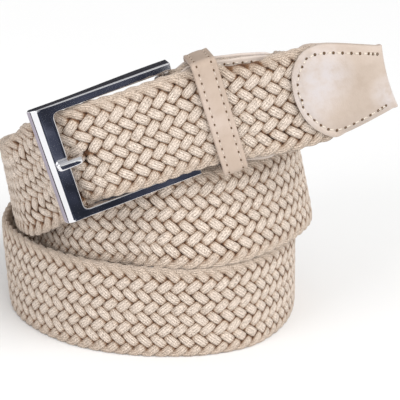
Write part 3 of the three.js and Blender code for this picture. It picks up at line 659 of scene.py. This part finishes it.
# A sheet through the band's middle, painted dark as the shade between the strands, open round the prong
def build_shade_sheet():
    count = 620
    lengths = np.linspace(BAND_START + 1, BAND_END - 1, count)
    shares = np.linspace(-1, 1, 13)
    half = (BRAID_SPAN / 2 * EDGE_REACH - 0.9) * braid_half_width(lengths)
    ws = shares[None, :] * half[:, None]
    ws = settle(lengths[:, None], ws)
    points = on_band(np.repeat(lengths, 13), ws.reshape(-1), np.zeros(count * 13))
    points[:, 2] = np.maximum(points[:, 2], 0.1)
    faces = []
    for i in range(count - 1):
        for k in range(12):
            near = abs(lengths[i] - PRONG_AT) < 4.6 and abs(ws[i, k] + ws[i, k + 1]) / 2 < 3.6
            if not near:
                a = i * 13 + k
                faces.append((a, a + 1, a + 14, a + 13))
    return new_mesh("braid_shade_sheet", points, faces)


dress(build_shade_sheet(), GAP_SHADE_SKIN, ["woven_band"])


# A leaf of leather: rings across it, each with a rounded edge and its own relief
def leaf_mesh(name, lengths, offsets, halves, skew_deg, relief, pinch,
              across_points=27, aside=0.0, dent=0.0):
    """lengths and offsets place the leaf's middle line in the run and out of it, halves its half width."""
    middle = on_band(lengths, np.full(len(lengths), aside), offsets)
    held = np.clip(lengths, 0, RUN)
    wide = along_run(WIDE, held)
    forward = along_run(ALONG, held)
    travel = unit(np.gradient(middle, axis=0))
    outer = unit(np.cross(travel, wide))
    edge = np.sin(np.linspace(-math.pi / 2, math.pi / 2, across_points))
    share = np.sign(edge) * np.abs(edge) ** 0.9
    rings = []
    skew = math.tan(skew_deg * RAD)
    for i in range(len(lengths)):
        w = share * halves[i]
        radius = min(0.5, halves[i])
        inward = np.clip((np.abs(w) - (halves[i] - radius)) / radius, 0, 1)
        thick = LEATHER / 2 * np.sqrt(np.clip(1 - inward ** 2, 0, 1))
        closed = pinch(i, w)
        top = thick + relief(i, w) - closed
        def lift(v, t):
            back = skew * v + dent * smooth(RUN - 14, RUN - 2, lengths[i]) * (1 - (v / halves[i]) ** 2)
            return middle[i] + v[:, None] * wide[i] - back[:, None] * forward[i] + t[:, None] * outer[i]
        rings.append(np.concatenate([lift(w, top), lift(w[::-1][1:-1], -(thick + closed)[::-1][1:-1])]))
    corners = len(rings[0])
    return new_mesh(name, np.concatenate(rings), tube_faces(len(rings), corners))


# Leather tip
N_SHARES = np.array([(0, 1), (0.60, 1), (0.72, 0.88), (0.80, 0.72), (0.94, 0.5), (1, 0.5)])
TIP_FOLD = 0.5 * LEAF_MIDDLE
TIP_END = RUN - 1.4
TIP_ASIDE = 0.7
STITCH_INSET = 2.7


def tip_slope(share):
    return (tip_half(share + 0.01) - tip_half(share - 0.01)) / (0.02 * TIP_LENGTH)


def tip_line():
    shares = np.concatenate([np.linspace(0, 1, 50) ** 2 * 0.2, np.linspace(0.2, 1, 50)[1:]])
    fold_at = TIP_END - TIP_FOLD
    last = (fold_at - TIP_START) / TIP_LENGTH
    shares = shares[shares < last]
    lengths = TIP_START + shares * TIP_LENGTH
    offsets = np.interp(shares, N_SHARES[:, 0], N_SHARES[:, 1]) * LEAF_MIDDLE
    halves = tip_half(shares)
    angles = np.linspace(0, math.pi, 13)
    fold_l = fold_at + TIP_FOLD * np.sin(angles)
    fold_n = TIP_FOLD * np.cos(angles)
    fold_h = np.full(len(angles), tip_half(last))
    return (np.concatenate([lengths, fold_l, lengths[::-1]]),
            np.concatenate([offsets, fold_n, -offsets[::-1]]),
            np.concatenate([np.maximum(halves, 0.05), fold_h, np.maximum(halves[::-1], 0.05)]))


tip_l, tip_n, tip_h = tip_line()
tip_rise = np.gradient(tip_h) / np.maximum(np.abs(np.gradient(tip_l)), 0.05)


def tip_relief(i, w):
    slope_here = min(abs(tip_rise[i]), 6)
    d = (tip_h[i] - np.abs(w)) / math.sqrt(1 + slope_here ** 2)
    groove = -0.22 * np.exp(-((d - STITCH_INSET) / 0.5) ** 2)
    puff = 0.35 * smooth(STITCH_INSET, STITCH_INSET + 4, d)
    puff += 0.12 * smooth(0, 1.3, d) * (1 - smooth(1.3, 2.6, d))
    fade = 1 - smooth(TIP_END - 3.0, TIP_END - 0.5, tip_l[i])
    return (groove + puff) * fade


def tip_pinch(i, w):
    """Brings the two leaves together along the tip's long sides."""
    share = (tip_l[i] - TIP_START) / TIP_LENGTH
    spare = max(abs(tip_n[i]) - LEATHER / 2, 0) * smooth(0.26, 0.42, share) * (1 - smooth(0.93, 0.99, share))
    return spare * (1 - smooth(0.4, 3.0, tip_h[i] - np.abs(w)))


tip = leaf_mesh("tip_skin", tip_l, tip_n, tip_h, TIP_SKEW, tip_relief, tip_pinch, 41, TIP_ASIDE, 1.0)
dress(tip, LEATHER_SKIN, ["tip_leather"])


# Leather tab: two leaves round the band's start and a fold round the heel bar
TAB_SHAPE = np.array([
    (0.20, 1), (0.76, 1), (0.84, 0.985), (0.90, 0.93), (0.95, 0.82), (0.97, 0.75), (0.985, 0.66),
    (0.995, 0.55), (1, 0.46)])
FOLD_RADIUS = HEEL_BAR_RADIUS + FOLD_ROOM + LEATHER / 2
TAB_INSET = 1.5


def tab_line():
    lengths = np.concatenate([
        TAB_LENGTH * (1 - np.linspace(0, 1, 30) ** 1.8 * 0.8), [HEEL_BAR_INSET + 2, 3.4, HEEL_BAR_RADIUS]])
    shares = np.clip(lengths / TAB_LENGTH, 0.2, 1)
    halves = np.interp(shares, TAB_SHAPE[:, 0], TAB_SHAPE[:, 1]) * TAB_WIDTH / 2
    halves = halves + 0.4 * smooth(0.45, 0.62, shares) * (1 - smooth(0.90, 0.99, shares))
    halves[-3:] = TAB_HEEL_WIDTH / 2
    offsets = np.full(len(lengths), LEAF_MIDDLE)
    offsets[-2] = 0.75 * LEAF_MIDDLE + 0.25 * FOLD_RADIUS
    offsets[-1] = 0.4 * LEAF_MIDDLE + 0.6 * FOLD_RADIUS
    angles = np.linspace(0, math.pi, 13)
    fold_l, fold_n = -FOLD_RADIUS * np.sin(angles), FOLD_RADIUS * np.cos(angles)
    return (np.concatenate([lengths, fold_l, lengths[::-1]]),
            np.concatenate([offsets, fold_n, -offsets[::-1]]),
            np.concatenate([halves, np.full(13, TAB_HEEL_WIDTH / 2), halves[::-1]]))


tab_l, tab_n, tab_h = tab_line()


def tab_relief(i, w):
    d = np.minimum(tab_h[i] - np.abs(w), TAB_LENGTH - tab_l[i])
    groove = -0.18 * np.exp(-((d - TAB_INSET) / 0.5) ** 2)
    return groove * smooth(4, 8, tab_l[i])


def cut_slot(thing):
    """The opening in the fold that the prong's eye turns in."""
    size = (2 * (HEEL_BAR_RADIUS + 2 * CLEARANCE + PRONG_EYE_WALL + 0.4), 16.0, PRONG_WIDTH + 2 * CLEARANCE)
    corners = []
    for du in (-0.5, 0.5):
        for dn in (-0.5, 0.5):
            for dw in (-0.5, 0.5):
                corners.append(at_buckle(HEEL_U + du * size[0], HEEL_N + dn * size[1], dw * size[2]) + SHIFT)
    block = new_mesh("slot_block", corners, [
        (0, 1, 3, 2), (4, 6, 7, 5), (0, 4, 5, 1), (2, 3, 7, 6), (0, 2, 6, 4), (1, 5, 7, 3)], False)
    cut = thing.modifiers.new("slot", "BOOLEAN")
    cut.operation = "DIFFERENCE"
    cut.object = block
    bpy.context.view_layer.update()
    done = bpy.data.meshes.new_from_object(thing.evaluated_get(bpy.context.evaluated_depsgraph_get()))
    thing.modifiers.clear()
    thing.data = done
    bpy.data.objects.remove(block)


# Stitches: short threads that dip into holes, whose dark discs are painted shade, joined into one mesh for each row set
def stitch_mesh(name, centres, alongs, normals, thread_length, radius):
    points, faces = [], []
    for c, a, n in zip(centres, alongs, normals):
        a = a / np.linalg.norm(a)
        n = n - a * (a @ n)
        n = n / np.linalg.norm(n)
        b = np.cross(a, n)
        start = sum(len(p) for p in points)
        rings = 7
        ring_points = []
        for j in range(rings):
            t = j / (rings - 1) * 2 - 1
            fat = radius * math.sqrt(max(0.06, 1 - abs(t) ** 5))
            centre = c + a * t * thread_length / 2 + n * (0.10 - 0.42 * t ** 4)
            for k in range(6):
                angle = k * math.pi / 3
                ring_points.append(centre + b * math.cos(angle) * fat + n * math.sin(angle) * fat * 0.8)
        points.append(np.array(ring_points))
        faces += tube_faces(rings, 6, start)
    return new_mesh(name, np.concatenate(points), faces)


# A small dark disc at each stitch hole, painted as the hole's shade
def hole_mesh(name, centres, alongs, normals, long, wide):
    points, faces = [], []
    for c, a, n in zip(centres, alongs, normals):
        a = a / np.linalg.norm(a)
        n = n - a * (a @ n)
        n = n / np.linalg.norm(n)
        b = np.cross(a, n)
        start = sum(len(p) for p in points)
        disc = [c + n * 0.10]
        for k in range(10):
            angle = k * math.pi / 5
            disc.append(c + a * math.cos(angle) * long * 0.7 + b * math.sin(angle) * wide * 0.7 + n * 0.07)
        for k in range(10):
            angle = k * math.pi / 5
            disc.append(c + a * math.cos(angle) * long + b * math.sin(angle) * wide - n * 0.12)
        disc.append(c - n * 0.3)
        points.append(np.array(disc))
        for k in range(10):
            k2 = (k + 1) % 10
            faces.append((start, start + 1 + k, start + 1 + k2))
            faces.append((start + 1 + k, start + 11 + k, start + 11 + k2, start + 1 + k2))
            faces.append((start + 11 + k, start + 21, start + 11 + k2))
    return new_mesh(name, np.concatenate(points), faces)


def even_spots(line, spacing, first=0.0, doubled=0):
    gaps = np.linalg.norm(np.diff(line, axis=0), axis=1)
    run = np.concatenate([[0], np.cumsum(gaps)])
    at = np.arange(first, run[-1], spacing)
    if doubled:
        at = np.sort(np.concatenate([at, at[:doubled] + spacing / 2, at[-doubled:] - spacing / 2]))
    spots = np.stack([np.interp(at, run, line[:, k]) for k in range(3)], -1)
    ahead = np.stack([np.interp(at + 0.2, run, line[:, k]) for k in range(3)], -1)
    behind = np.stack([np.interp(at - 0.2, run, line[:, k]) for k in range(3)], -1)
    return spots, ahead - behind


def tip_surface(length, w, side):
    share = (length - TIP_START) / TIP_LENGTH
    n = np.interp(share, N_SHARES[:, 0], N_SHARES[:, 1]) * LEAF_MIDDLE + LEATHER / 2
    return on_band(length - math.tan(TIP_SKEW * RAD) * w, w + TIP_ASIDE, side * (n - 0.1))


def tip_stitch_line(side):
    shares = np.concatenate([np.linspace(0.91, 0.2, 40), 0.2 * np.linspace(1, 0.29, 40)[1:] ** 2])
    inset = STITCH_INSET * np.sqrt(1 + tip_slope(shares) ** 2)
    w = tip_half(shares) - inset
    keep = w > 0
    shares, w = shares[keep], w[keep]
    apex = TIP_START + STITCH_INSET * 0.95
    up = TIP_START + shares * TIP_LENGTH
    lengths = np.concatenate([up, [apex], up[::-1]])
    ws = np.concatenate([w, [0], -w[::-1]])
    return tip_surface(lengths, ws, side)


def add_row(name, thing, line, spacing, first, skin, thick=0.24, hole=(0.50, 0.56), doubled=0):
    spots, aims = even_spots(line, spacing, first, doubled)
    settled, normals = [], []
    for spot in spots:
        _, where, normal, _ = thing.closest_point_on_mesh(Vector(spot * MM))
        settled.append(np.array(where) / MM)
        normals.append(np.array(normal))
    settled, normals = np.array(settled), np.array(normals)
    between = 0.38 * settled[1:] + 0.62 * settled[:-1]
    between_aims = settled[1:] - settled[:-1]
    between_normals = (normals[1:] + normals[:-1]) / 2
    threads = stitch_mesh(name + "_threads", between, between_aims, between_normals, spacing * 0.44, thick)
    dress(threads, skin)
    dress(hole_mesh(name + "_holes", settled, aims, normals, *hole), HOLE_SHADE)


bpy.context.view_layer.update()
add_row("tip_front", tip, tip_stitch_line(1), 3.25, 0.4, LIGHT_THREAD, 0.34, doubled=1)
add_row("tip_back", tip, tip_stitch_line(-1), 3.25, 0.4, LIGHT_THREAD, 0.34, doubled=1)


def tab_stitch_line(side):
    lengths = np.concatenate([
        np.linspace(8, TAB_LENGTH - 7, 30),
        TAB_LENGTH - TAB_INSET - 4.3 * np.cos(np.linspace(0.15, 1.57, 10))])
    half = np.interp(lengths / TAB_LENGTH, TAB_SHAPE[:, 0], TAB_SHAPE[:, 1]) * TAB_WIDTH / 2 - TAB_INSET
    ls = np.concatenate([lengths, lengths[::-1]])
    ws = np.concatenate([half, -half[::-1]])
    return on_band(ls, ws, np.full(len(ls), side * (LEAF_OUTER - 0.1)))


tab = leaf_mesh("tab_skin", tab_l, tab_n, tab_h, 0, tab_relief, lambda i, w: 0 * w, 41)
cut_slot(tab)
dress(tab, TAB_SKIN, ["buckle_tab"])
bpy.context.view_layer.update()
add_row("tab_front", tab, tab_stitch_line(1), 3.2, 0.4, LIGHT_THREAD, 0.3)
add_row("tab_back", tab, tab_stitch_line(-1), 3.2, 0.4, LIGHT_THREAD, 0.3)

# Keeper loop
keeper_middle = along_run(MIDDLE, KEEPER_AT)
keeper_wide = along_run(WIDE, KEEPER_AT)
keeper_out = along_run(OUT, KEEPER_AT)
keeper_along = along_run(ALONG, KEEPER_AT)
KEEPER_BACK = -(LAYER_PITCH + LEAF_OUTER) - 3 * CLEARANCE
KEEPER_FRONT = BAND_THICKNESS / 2 + CLEARANCE
KEEPER_HIGH = TAB_WIDTH / 2 + 4 * CLEARANCE
KEEPER_LOW = -(TAB_WIDTH / 2 + BACK_DROP + 6 * CLEARANCE)
skew = KEEPER_SKEW * RAD
keeper_w = math.cos(skew) * keeper_wide - math.sin(skew) * keeper_along
keeper_t = math.sin(skew) * keeper_wide + math.cos(skew) * keeper_along


def rounded_rectangle(low_w, high_w, low_n, high_n, radius, per_corner=9, per_side=14):
    corners = [(high_w - radius, low_n + radius, -90), (high_w - radius, high_n - radius, 0),
               (low_w + radius, high_n - radius, 90), (low_w + radius, low_n + radius, 180)]
    points = []
    for i, (cw, cn, start) in enumerate(corners):
        for j in range(per_corner):
            angle = (start + 90 * j / (per_corner - 1)) * RAD
            points.append((cw + radius * math.cos(angle), cn + radius * math.sin(angle),
                           math.cos(angle), math.sin(angle)))
        nw, nn, next_start = corners[(i + 1) % 4]
        a = points[-1]
        angle = next_start * RAD
        b = (nw + radius * math.cos(angle), nn + radius * math.sin(angle), math.cos(angle), math.sin(angle))
        for j in range(1, per_side):
            t = j / per_side
            points.append(tuple(a[k] + t * (b[k] - a[k]) for k in range(4)))
    return np.array(points)


def keeper_relief(t):
    d = KEEPER_WIDTH / 2 - np.abs(t)
    return -0.16 * np.exp(-((d - 1.9) / 0.45) ** 2) + 0.10 * smooth(2.0, 3.6, d)


def build_keeper():
    half = KEEPER_THICKNESS / 2
    loop = rounded_rectangle(KEEPER_LOW - half, KEEPER_HIGH + half,
                             KEEPER_BACK - half, KEEPER_FRONT + half, 0.8 + half)
    edge = np.linspace(-1, 1, 25)
    t = np.sign(edge) * np.abs(edge) ** 0.85 * KEEPER_WIDTH / 2
    radius = 0.6
    inward = np.clip((np.abs(t) - (KEEPER_WIDTH / 2 - radius)) / radius, 0, 1)
    thick = half * np.sqrt(np.clip(1 - inward ** 2, 0, 1))
    rings = []
    for w, n, nw, nn in loop:
        base = keeper_middle + w * keeper_w + n * keeper_out + SHIFT
        normal = nw * keeper_w + nn * keeper_out
        top = base + t[:, None] * keeper_t + (thick + keeper_relief(t))[:, None] * normal
        under = base + t[::-1][1:-1, None] * keeper_t - thick[::-1][1:-1, None] * normal
        rings.append(np.concatenate([top, under]))
    corners = len(rings[0])
    thing = new_mesh("keeper_skin", np.concatenate(rings), tube_faces(len(rings), corners, closed=True))
    rows = []
    for t_at in (-KEEPER_WIDTH / 2 + 1.9, KEEPER_WIDTH / 2 - 1.9):
        line = [keeper_middle + w * keeper_w + n * keeper_out + SHIFT + t_at * keeper_t
                + half * (nw * keeper_w + nn * keeper_out) for w, n, nw, nn in np.concatenate([loop, loop[:1]])]
        rows.append(np.array(line))
    return thing, rows


keeper, keeper_rows = build_keeper()
dress(keeper, KEEPER_SKIN, ["keeper_loop"])
bpy.context.view_layer.update()
for label, row in zip(("left", "right"), keeper_rows):
    add_row("keeper_" + label, keeper, row, 3.1, 1.0, THREAD, 0.24, (0.46, 0.30))

# Prong: a smooth bent bar with its eye round the heel bar
PRONG_OVER = BAR_FRONT_N + CLEARANCE + PRONG_THICKNESS / 2
PRONG_LINE = np.array([
    (HEEL_U - HEEL_BAR_RADIUS - CLEARANCE - PRONG_EYE_WALL / 2, HEEL_N - 0.3),
    (HEEL_U - 9, HEEL_N - 0.75), (HEEL_U - 19, HEEL_N - 1.2), (BAR_INNER_U + 8.0, HEEL_N - 1.0),
    (BAR_INNER_U + 6.0, HEEL_N + 0.2), (BAR_INNER_U + 4.9, HEEL_N + 0.52 * (PRONG_OVER - HEEL_N)),
    (BAR_INNER_U + 3.6, PRONG_OVER - 0.5), (BAR_INNER_U + 1.6, PRONG_OVER - 0.1),
    (BAR_INNER_U - 1.2, PRONG_OVER),
    (BAR_INNER_U - 0.42 * OUTER_BAR_WIDTH, PRONG_OVER),
    (BAR_INNER_U - 0.59 * OUTER_BAR_WIDTH, PRONG_OVER - 0.1),
])


def spline(points, per_piece=10):
    out = []
    for i in range(len(points) - 1):
        p0, p1, p2, p3 = points[max(i - 1, 0)], points[i], points[i + 1], points[min(i + 2, len(points) - 1)]
        for j in range(per_piece):
            t = j / per_piece
            out.append(0.5 * (2 * p1 + (p2 - p0) * t + (2 * p0 - 5 * p1 + 4 * p2 - p3) * t * t
                              + (3 * p1 - p0 - 3 * p2 + p3) * t ** 3))
    out.append(points[-1])
    return np.array(out)


def build_prong():
    line = spline(PRONG_LINE)
    gaps = np.concatenate([[0], np.cumsum(np.linalg.norm(np.diff(line, axis=0), axis=1))])
    left = gaps[-1] - gaps
    tangent = unit(np.gradient(line, axis=0))
    rings = []
    for (u, n), (tu, tn), rest in zip(line, tangent, left):
        end = math.sqrt(max(0.02, 1 - max(0, 1 - rest / 1.6) ** 2))
        half_w, half_t = 0.82 * PRONG_WIDTH / 2 * end, 0.9 * PRONG_THICKNESS / 2 * (0.35 + 0.65 * end)
        ring = []
        for k in range(20):
            a = k * math.pi / 10
            x = math.copysign(abs(math.cos(a)) ** 0.62, math.cos(a)) * half_w
            y = math.copysign(abs(math.sin(a)) ** 0.62, math.sin(a)) * half_t
            ring.append(at_buckle(u + tn * y, n - tu * y, x) + SHIFT)
        rings.append(ring)
    points = np.array(rings).reshape(-1, 3)
    faces = tube_faces(len(rings), 20)
    start = len(points)
    inner, outer = HEEL_BAR_RADIUS + CLEARANCE, HEEL_BAR_RADIUS + CLEARANCE + PRONG_EYE_WALL
    eye_points = []
    for i in range(32):
        a = i * math.pi / 16
        for r, w in ((inner, -1.6), (outer - 0.3, -1.8), (outer, -1.5), (outer, 1.5), (outer - 0.3, 1.8), (inner, 1.6)):
            eye_points.append(at_buckle(HEEL_U + r * math.cos(a), HEEL_N + r * math.sin(a), w) + SHIFT)
    faces += tube_faces(32, 6, start, closed=True)
    return new_mesh("prong_bar", np.concatenate([points, eye_points]), faces)


dress(build_prong(), CHROME, ["prong"])


# Buckle frame: sections between its inner and outer outline, with softly rounded edges
RAIL_WIDTH = 2.9
BAND_PLAY = 0.8
INNER_CORNER = 2.2
BAR_BEVEL_WIDTH = 2.9
BAR_BACK_N = -1.1
EDGE_ROUND = 0.34
HALF_LENGTH = FRAME_LENGTH / 2
INNER_HALF = BAND_WIDTH / 2 + BAND_PLAY
HALF_HEIGHT = INNER_HALF + RAIL_WIDTH


def rounded_drop(d):
    d = np.clip(d, 0, EDGE_ROUND)
    return EDGE_ROUND - np.sqrt(np.maximum(EDGE_ROUND ** 2 - (EDGE_ROUND - d) ** 2, 0))


def frame_outlines():
    """Pairs of points of the inner and the outer outline, for the upper half from the rail's end."""
    pairs = []
    for t in np.linspace(0, 1, 15) ** 0.8:
        u = HALF_LENGTH + t * (BAR_INNER_U + INNER_CORNER - HALF_LENGTH)
        pairs.append(((u, INNER_HALF), (u, HALF_HEIGHT)))
    corner = 0.9
    leg_u = OUTER_BAR_WIDTH + INNER_CORNER - corner
    leg_w = RAIL_WIDTH + INNER_CORNER - corner
    for t in np.linspace(0, 1, 33)[1:]:
        a = (BAR_INNER_U + INNER_CORNER, INNER_HALF)
        b = (BAR_INNER_U, INNER_HALF)
        c = (BAR_INNER_U, INNER_HALF - INNER_CORNER)
        inner = tuple((1 - t) ** 2 * a[k] + 2 * t * (1 - t) * b[k] + t * t * c[k] for k in range(2))
        if t < 0.4:
            outer = (a[0] - leg_u * t / 0.4, HALF_HEIGHT)
        elif t < 0.6:
            angle = (t - 0.4) / 0.2 * math.pi / 2
            outer = (-HALF_LENGTH + corner - corner * math.sin(angle), HALF_HEIGHT - corner + corner * math.cos(angle))
        else:
            outer = (-HALF_LENGTH, HALF_HEIGHT - corner - leg_w * (t - 0.6) / 0.4)
        pairs.append((inner, outer))
    for t in np.linspace(0, 1, 10)[1:]:
        w = (INNER_HALF - INNER_CORNER) * (1 - t)
        pairs.append(((BAR_INNER_U, w), (-HALF_LENGTH, w)))
    return pairs


EDGE_STEPS = np.linspace(0, BAR_BEVEL_WIDTH, 200)
EDGE_SLOPES = 0.46 + 1.0 * (1 - smooth(0.5, 1.5, EDGE_STEPS))
EDGE_DROPS = np.cumsum(EDGE_SLOPES[::-1])[::-1] * (EDGE_STEPS[1] - EDGE_STEPS[0])


def front_height(u):
    """The outer bar's front: flat, then a broad bevel that turns softly into a steeper one."""
    return BAR_FRONT_N - np.interp(u + HALF_LENGTH, EDGE_STEPS, EDGE_DROPS, right=0)


def back_height(u):
    return BAR_BACK_N - (BAR_FRONT_N + BAR_BACK_N) * smooth(BAR_INNER_U + 2, HALF_LENGTH - 9, u)


def build_frame():
    upper = frame_outlines()
    lower = [((i[0], -i[1]), (o[0], -o[1])) for i, o in reversed(upper[:-1])]
    rings = []
    pairs = upper + lower
    for i, (inner, outer) in enumerate(pairs):
        inner, outer = np.array(inner), np.array(outer)
        reach = np.linalg.norm(outer - inner)
        run = (outer - inner) / reach
        crease = (inner[0] - (BAR_BEVEL_WIDTH - HALF_LENGTH)) / max(-run[0], 1e-6)
        crease = min(max(crease, EDGE_ROUND + 0.3), reach - 1.8)
        edge = EDGE_ROUND * (1 - np.cos(np.linspace(0, math.pi / 2, 6)))
        across = np.concatenate([
            edge, np.linspace(EDGE_ROUND, crease - 0.05, 6)[1:], [crease, crease + 0.05],
            np.linspace(crease + 0.05, reach - 1.6, 4)[1:], reach - np.linspace(1.5, 0.5, 8),
            reach - edge[::-1]])
        spot = inner + across[:, None] * run
        drop = rounded_drop(across) + rounded_drop(reach - across)
        front = front_height(spot[:, 0]) - drop
        back_spot, back_drop = spot[::-1], drop[::-1]
        back = back_height(back_spot[:, 0]) + back_drop
        end = min(i, len(pairs) - 1 - i)
        ring = []
        for (u, w), n in zip(np.concatenate([spot, back_spot]), np.concatenate([front, back])):
            ring.append([u, n, w])
        ring = np.array(ring)
        if end == 0:
            middle = ring.mean(0)
            for shrink, move in ((0.72, 0.0), (0.90, 0.12), (0.98, 0.32)):
                copy = middle + (ring - middle) * np.array([1, shrink, shrink])
                copy[:, 0] = HALF_LENGTH - move
                rings.append(copy)
            if i:
                tail = rings[-3:]
                rings[-3:] = tail[::-1]
            continue
        rings.append(ring)
    corners = len(rings[0])
    flat = np.concatenate(rings)
    points = np.array([at_buckle(u, n, w) + SHIFT for u, n, w in flat])
    thing = new_mesh("buckle_frame_skin", points, tube_faces(len(rings), corners))
    if hasattr(thing.data, "set_sharp_from_angle"):
        thing.data.set_sharp_from_angle(angle=0.7)
    return thing


dress(build_frame(), CHROME, ["buckle_frame"])

# The CAD node that stays: the heel bar
for name, skin in (("heel_bar", CHROME),):
    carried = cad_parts[name]
    carried.data.materials.clear()
    carried.data.materials.append(skin)
for name in ("heel_bar",):
    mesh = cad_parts[name].data
    mesh.polygons.foreach_set("use_smooth", [True] * len(mesh.polygons))
    if hasattr(mesh, "set_sharp_from_angle"):
        mesh.set_sharp_from_angle(angle=0.6)


# Floor, backdrop and studio light
def plane(name, size, location, skin):
    mesh = bpy.data.meshes.new(name)
    sx, sy = size[0] / 2, size[1] / 2
    mesh.from_pydata([(-sx, -sy, 0), (sx, -sy, 0), (sx, sy, 0), (-sx, sy, 0)], [], [(0, 1, 2, 3)])
    thing = bpy.data.objects.new(name, mesh)
    thing.location = location
    bpy.context.scene.collection.objects.link(thing)
    mesh.materials.append(skin)
    return thing


def plain(name, tone, roughness=0.9):
    m, tree, shader = material(name)
    shader.inputs["Base Color"].default_value = (*tone, 1)
    shader.inputs["Roughness"].default_value = roughness
    shader.inputs["Specular IOR Level"].default_value = 0.1
    return m


plane("floor", (6, 6), (0, 0, -0.0002), plain("pale_floor", (0.86, 0.86, 0.86)))


def card(name, low, high, z, tone, tilt=None):
    """A studio card that only the polished metal and the leather's gloss see."""
    size = (high[0] - low[0], high[1] - low[1])
    made = plane(name, size, ((low[0] + high[0]) / 2, (low[1] + high[1]) / 2, z), plain(name, tone))
    if tilt is not None:
        made.rotation_euler = tilt
    made.visible_camera = False
    made.visible_diffuse = False
    made.visible_shadow = False
    return made


front_card = card("front_card", (0.006, -0.80), (0.27, -0.105), 0.002, (0.018, 0.020, 0.030))
tree = front_card.data.materials[0].node_tree
where = tree.nodes.new("ShaderNodeTexCoord")
streaks = node(tree, "ShaderNodeTexNoise", Scale=22.0, Detail=2.0)
tree.links.new(where.outputs["Object"], streaks.inputs["Vector"])
tree.links.new(ramp(tree, streaks.outputs[0], [(0.42, (0.010, 0.012, 0.020)), (0.55, (0.035, 0.040, 0.065)), (0.70, (0.16, 0.17, 0.22))]),
               tree.nodes["Principled BSDF"].inputs["Base Color"])
card("left_card", (-0.42, -0.088), (-0.100, 0.060), 0.002, (0.40, 0.36, 0.41))
card("line_card", (-0.42, -0.136), (-0.090, -0.089), 0.003, (0.03, 0.02, 0.03))
card("back_left_card", (-0.60, 0.070), (-0.060, 0.60), 0.002, (0.40, 0.36, 0.41))
card("back_card", (-0.70, 0.0), (0.50, 0.55), 0.38, (0.03, 0.03, 0.035), (math.radians(90), 0, 0)).location.y = 0.62
card("top_card", (-0.8, -0.8), (0.8, 0.5), 1.35, (0.5, 0.5, 0.52), (math.radians(180), 0, 0))


def area_light(name, location, aim, size, power, tone=(1, 1, 1)):
    data = bpy.data.lights.new(name, "AREA")
    data.shape = "RECTANGLE"
    data.size, data.size_y = size
    data.energy = power
    data.color = tone
    thing = bpy.data.objects.new(name, data)
    thing.location = location
    thing.rotation_euler = (Vector(aim) - Vector(location)).to_track_quat("-Z", "Y").to_euler()
    bpy.context.scene.collection.objects.link(thing)
    return thing


sun_data = bpy.data.lights.new("key", "SUN")
sun_data.energy = 2.8
sun_data.angle = math.radians(65)
sun_data.color = (1, 1, 0.995)
sun = bpy.data.objects.new("key", sun_data)
sun.rotation_euler = (Vector((0, 0, 0)) - Vector((0.74, -0.70, 0.68))).to_track_quat("-Z", "Y").to_euler()
bpy.context.scene.collection.objects.link(sun)
sun.visible_glossy = False
area_light("fill", (-0.75, -0.75, 0.45), (0, 0, 0.05), (0.6, 0.6), 4.8, (0.99, 0.99, 1))

world = bpy.data.worlds.new("studio")
world.use_nodes = True
world.node_tree.nodes["Background"].inputs["Color"].default_value = (1, 1, 1, 1)
world.node_tree.nodes["Background"].inputs["Strength"].default_value = 0.62
bpy.context.scene.world = world
bpy.context.scene.view_settings.view_transform = "Standard"
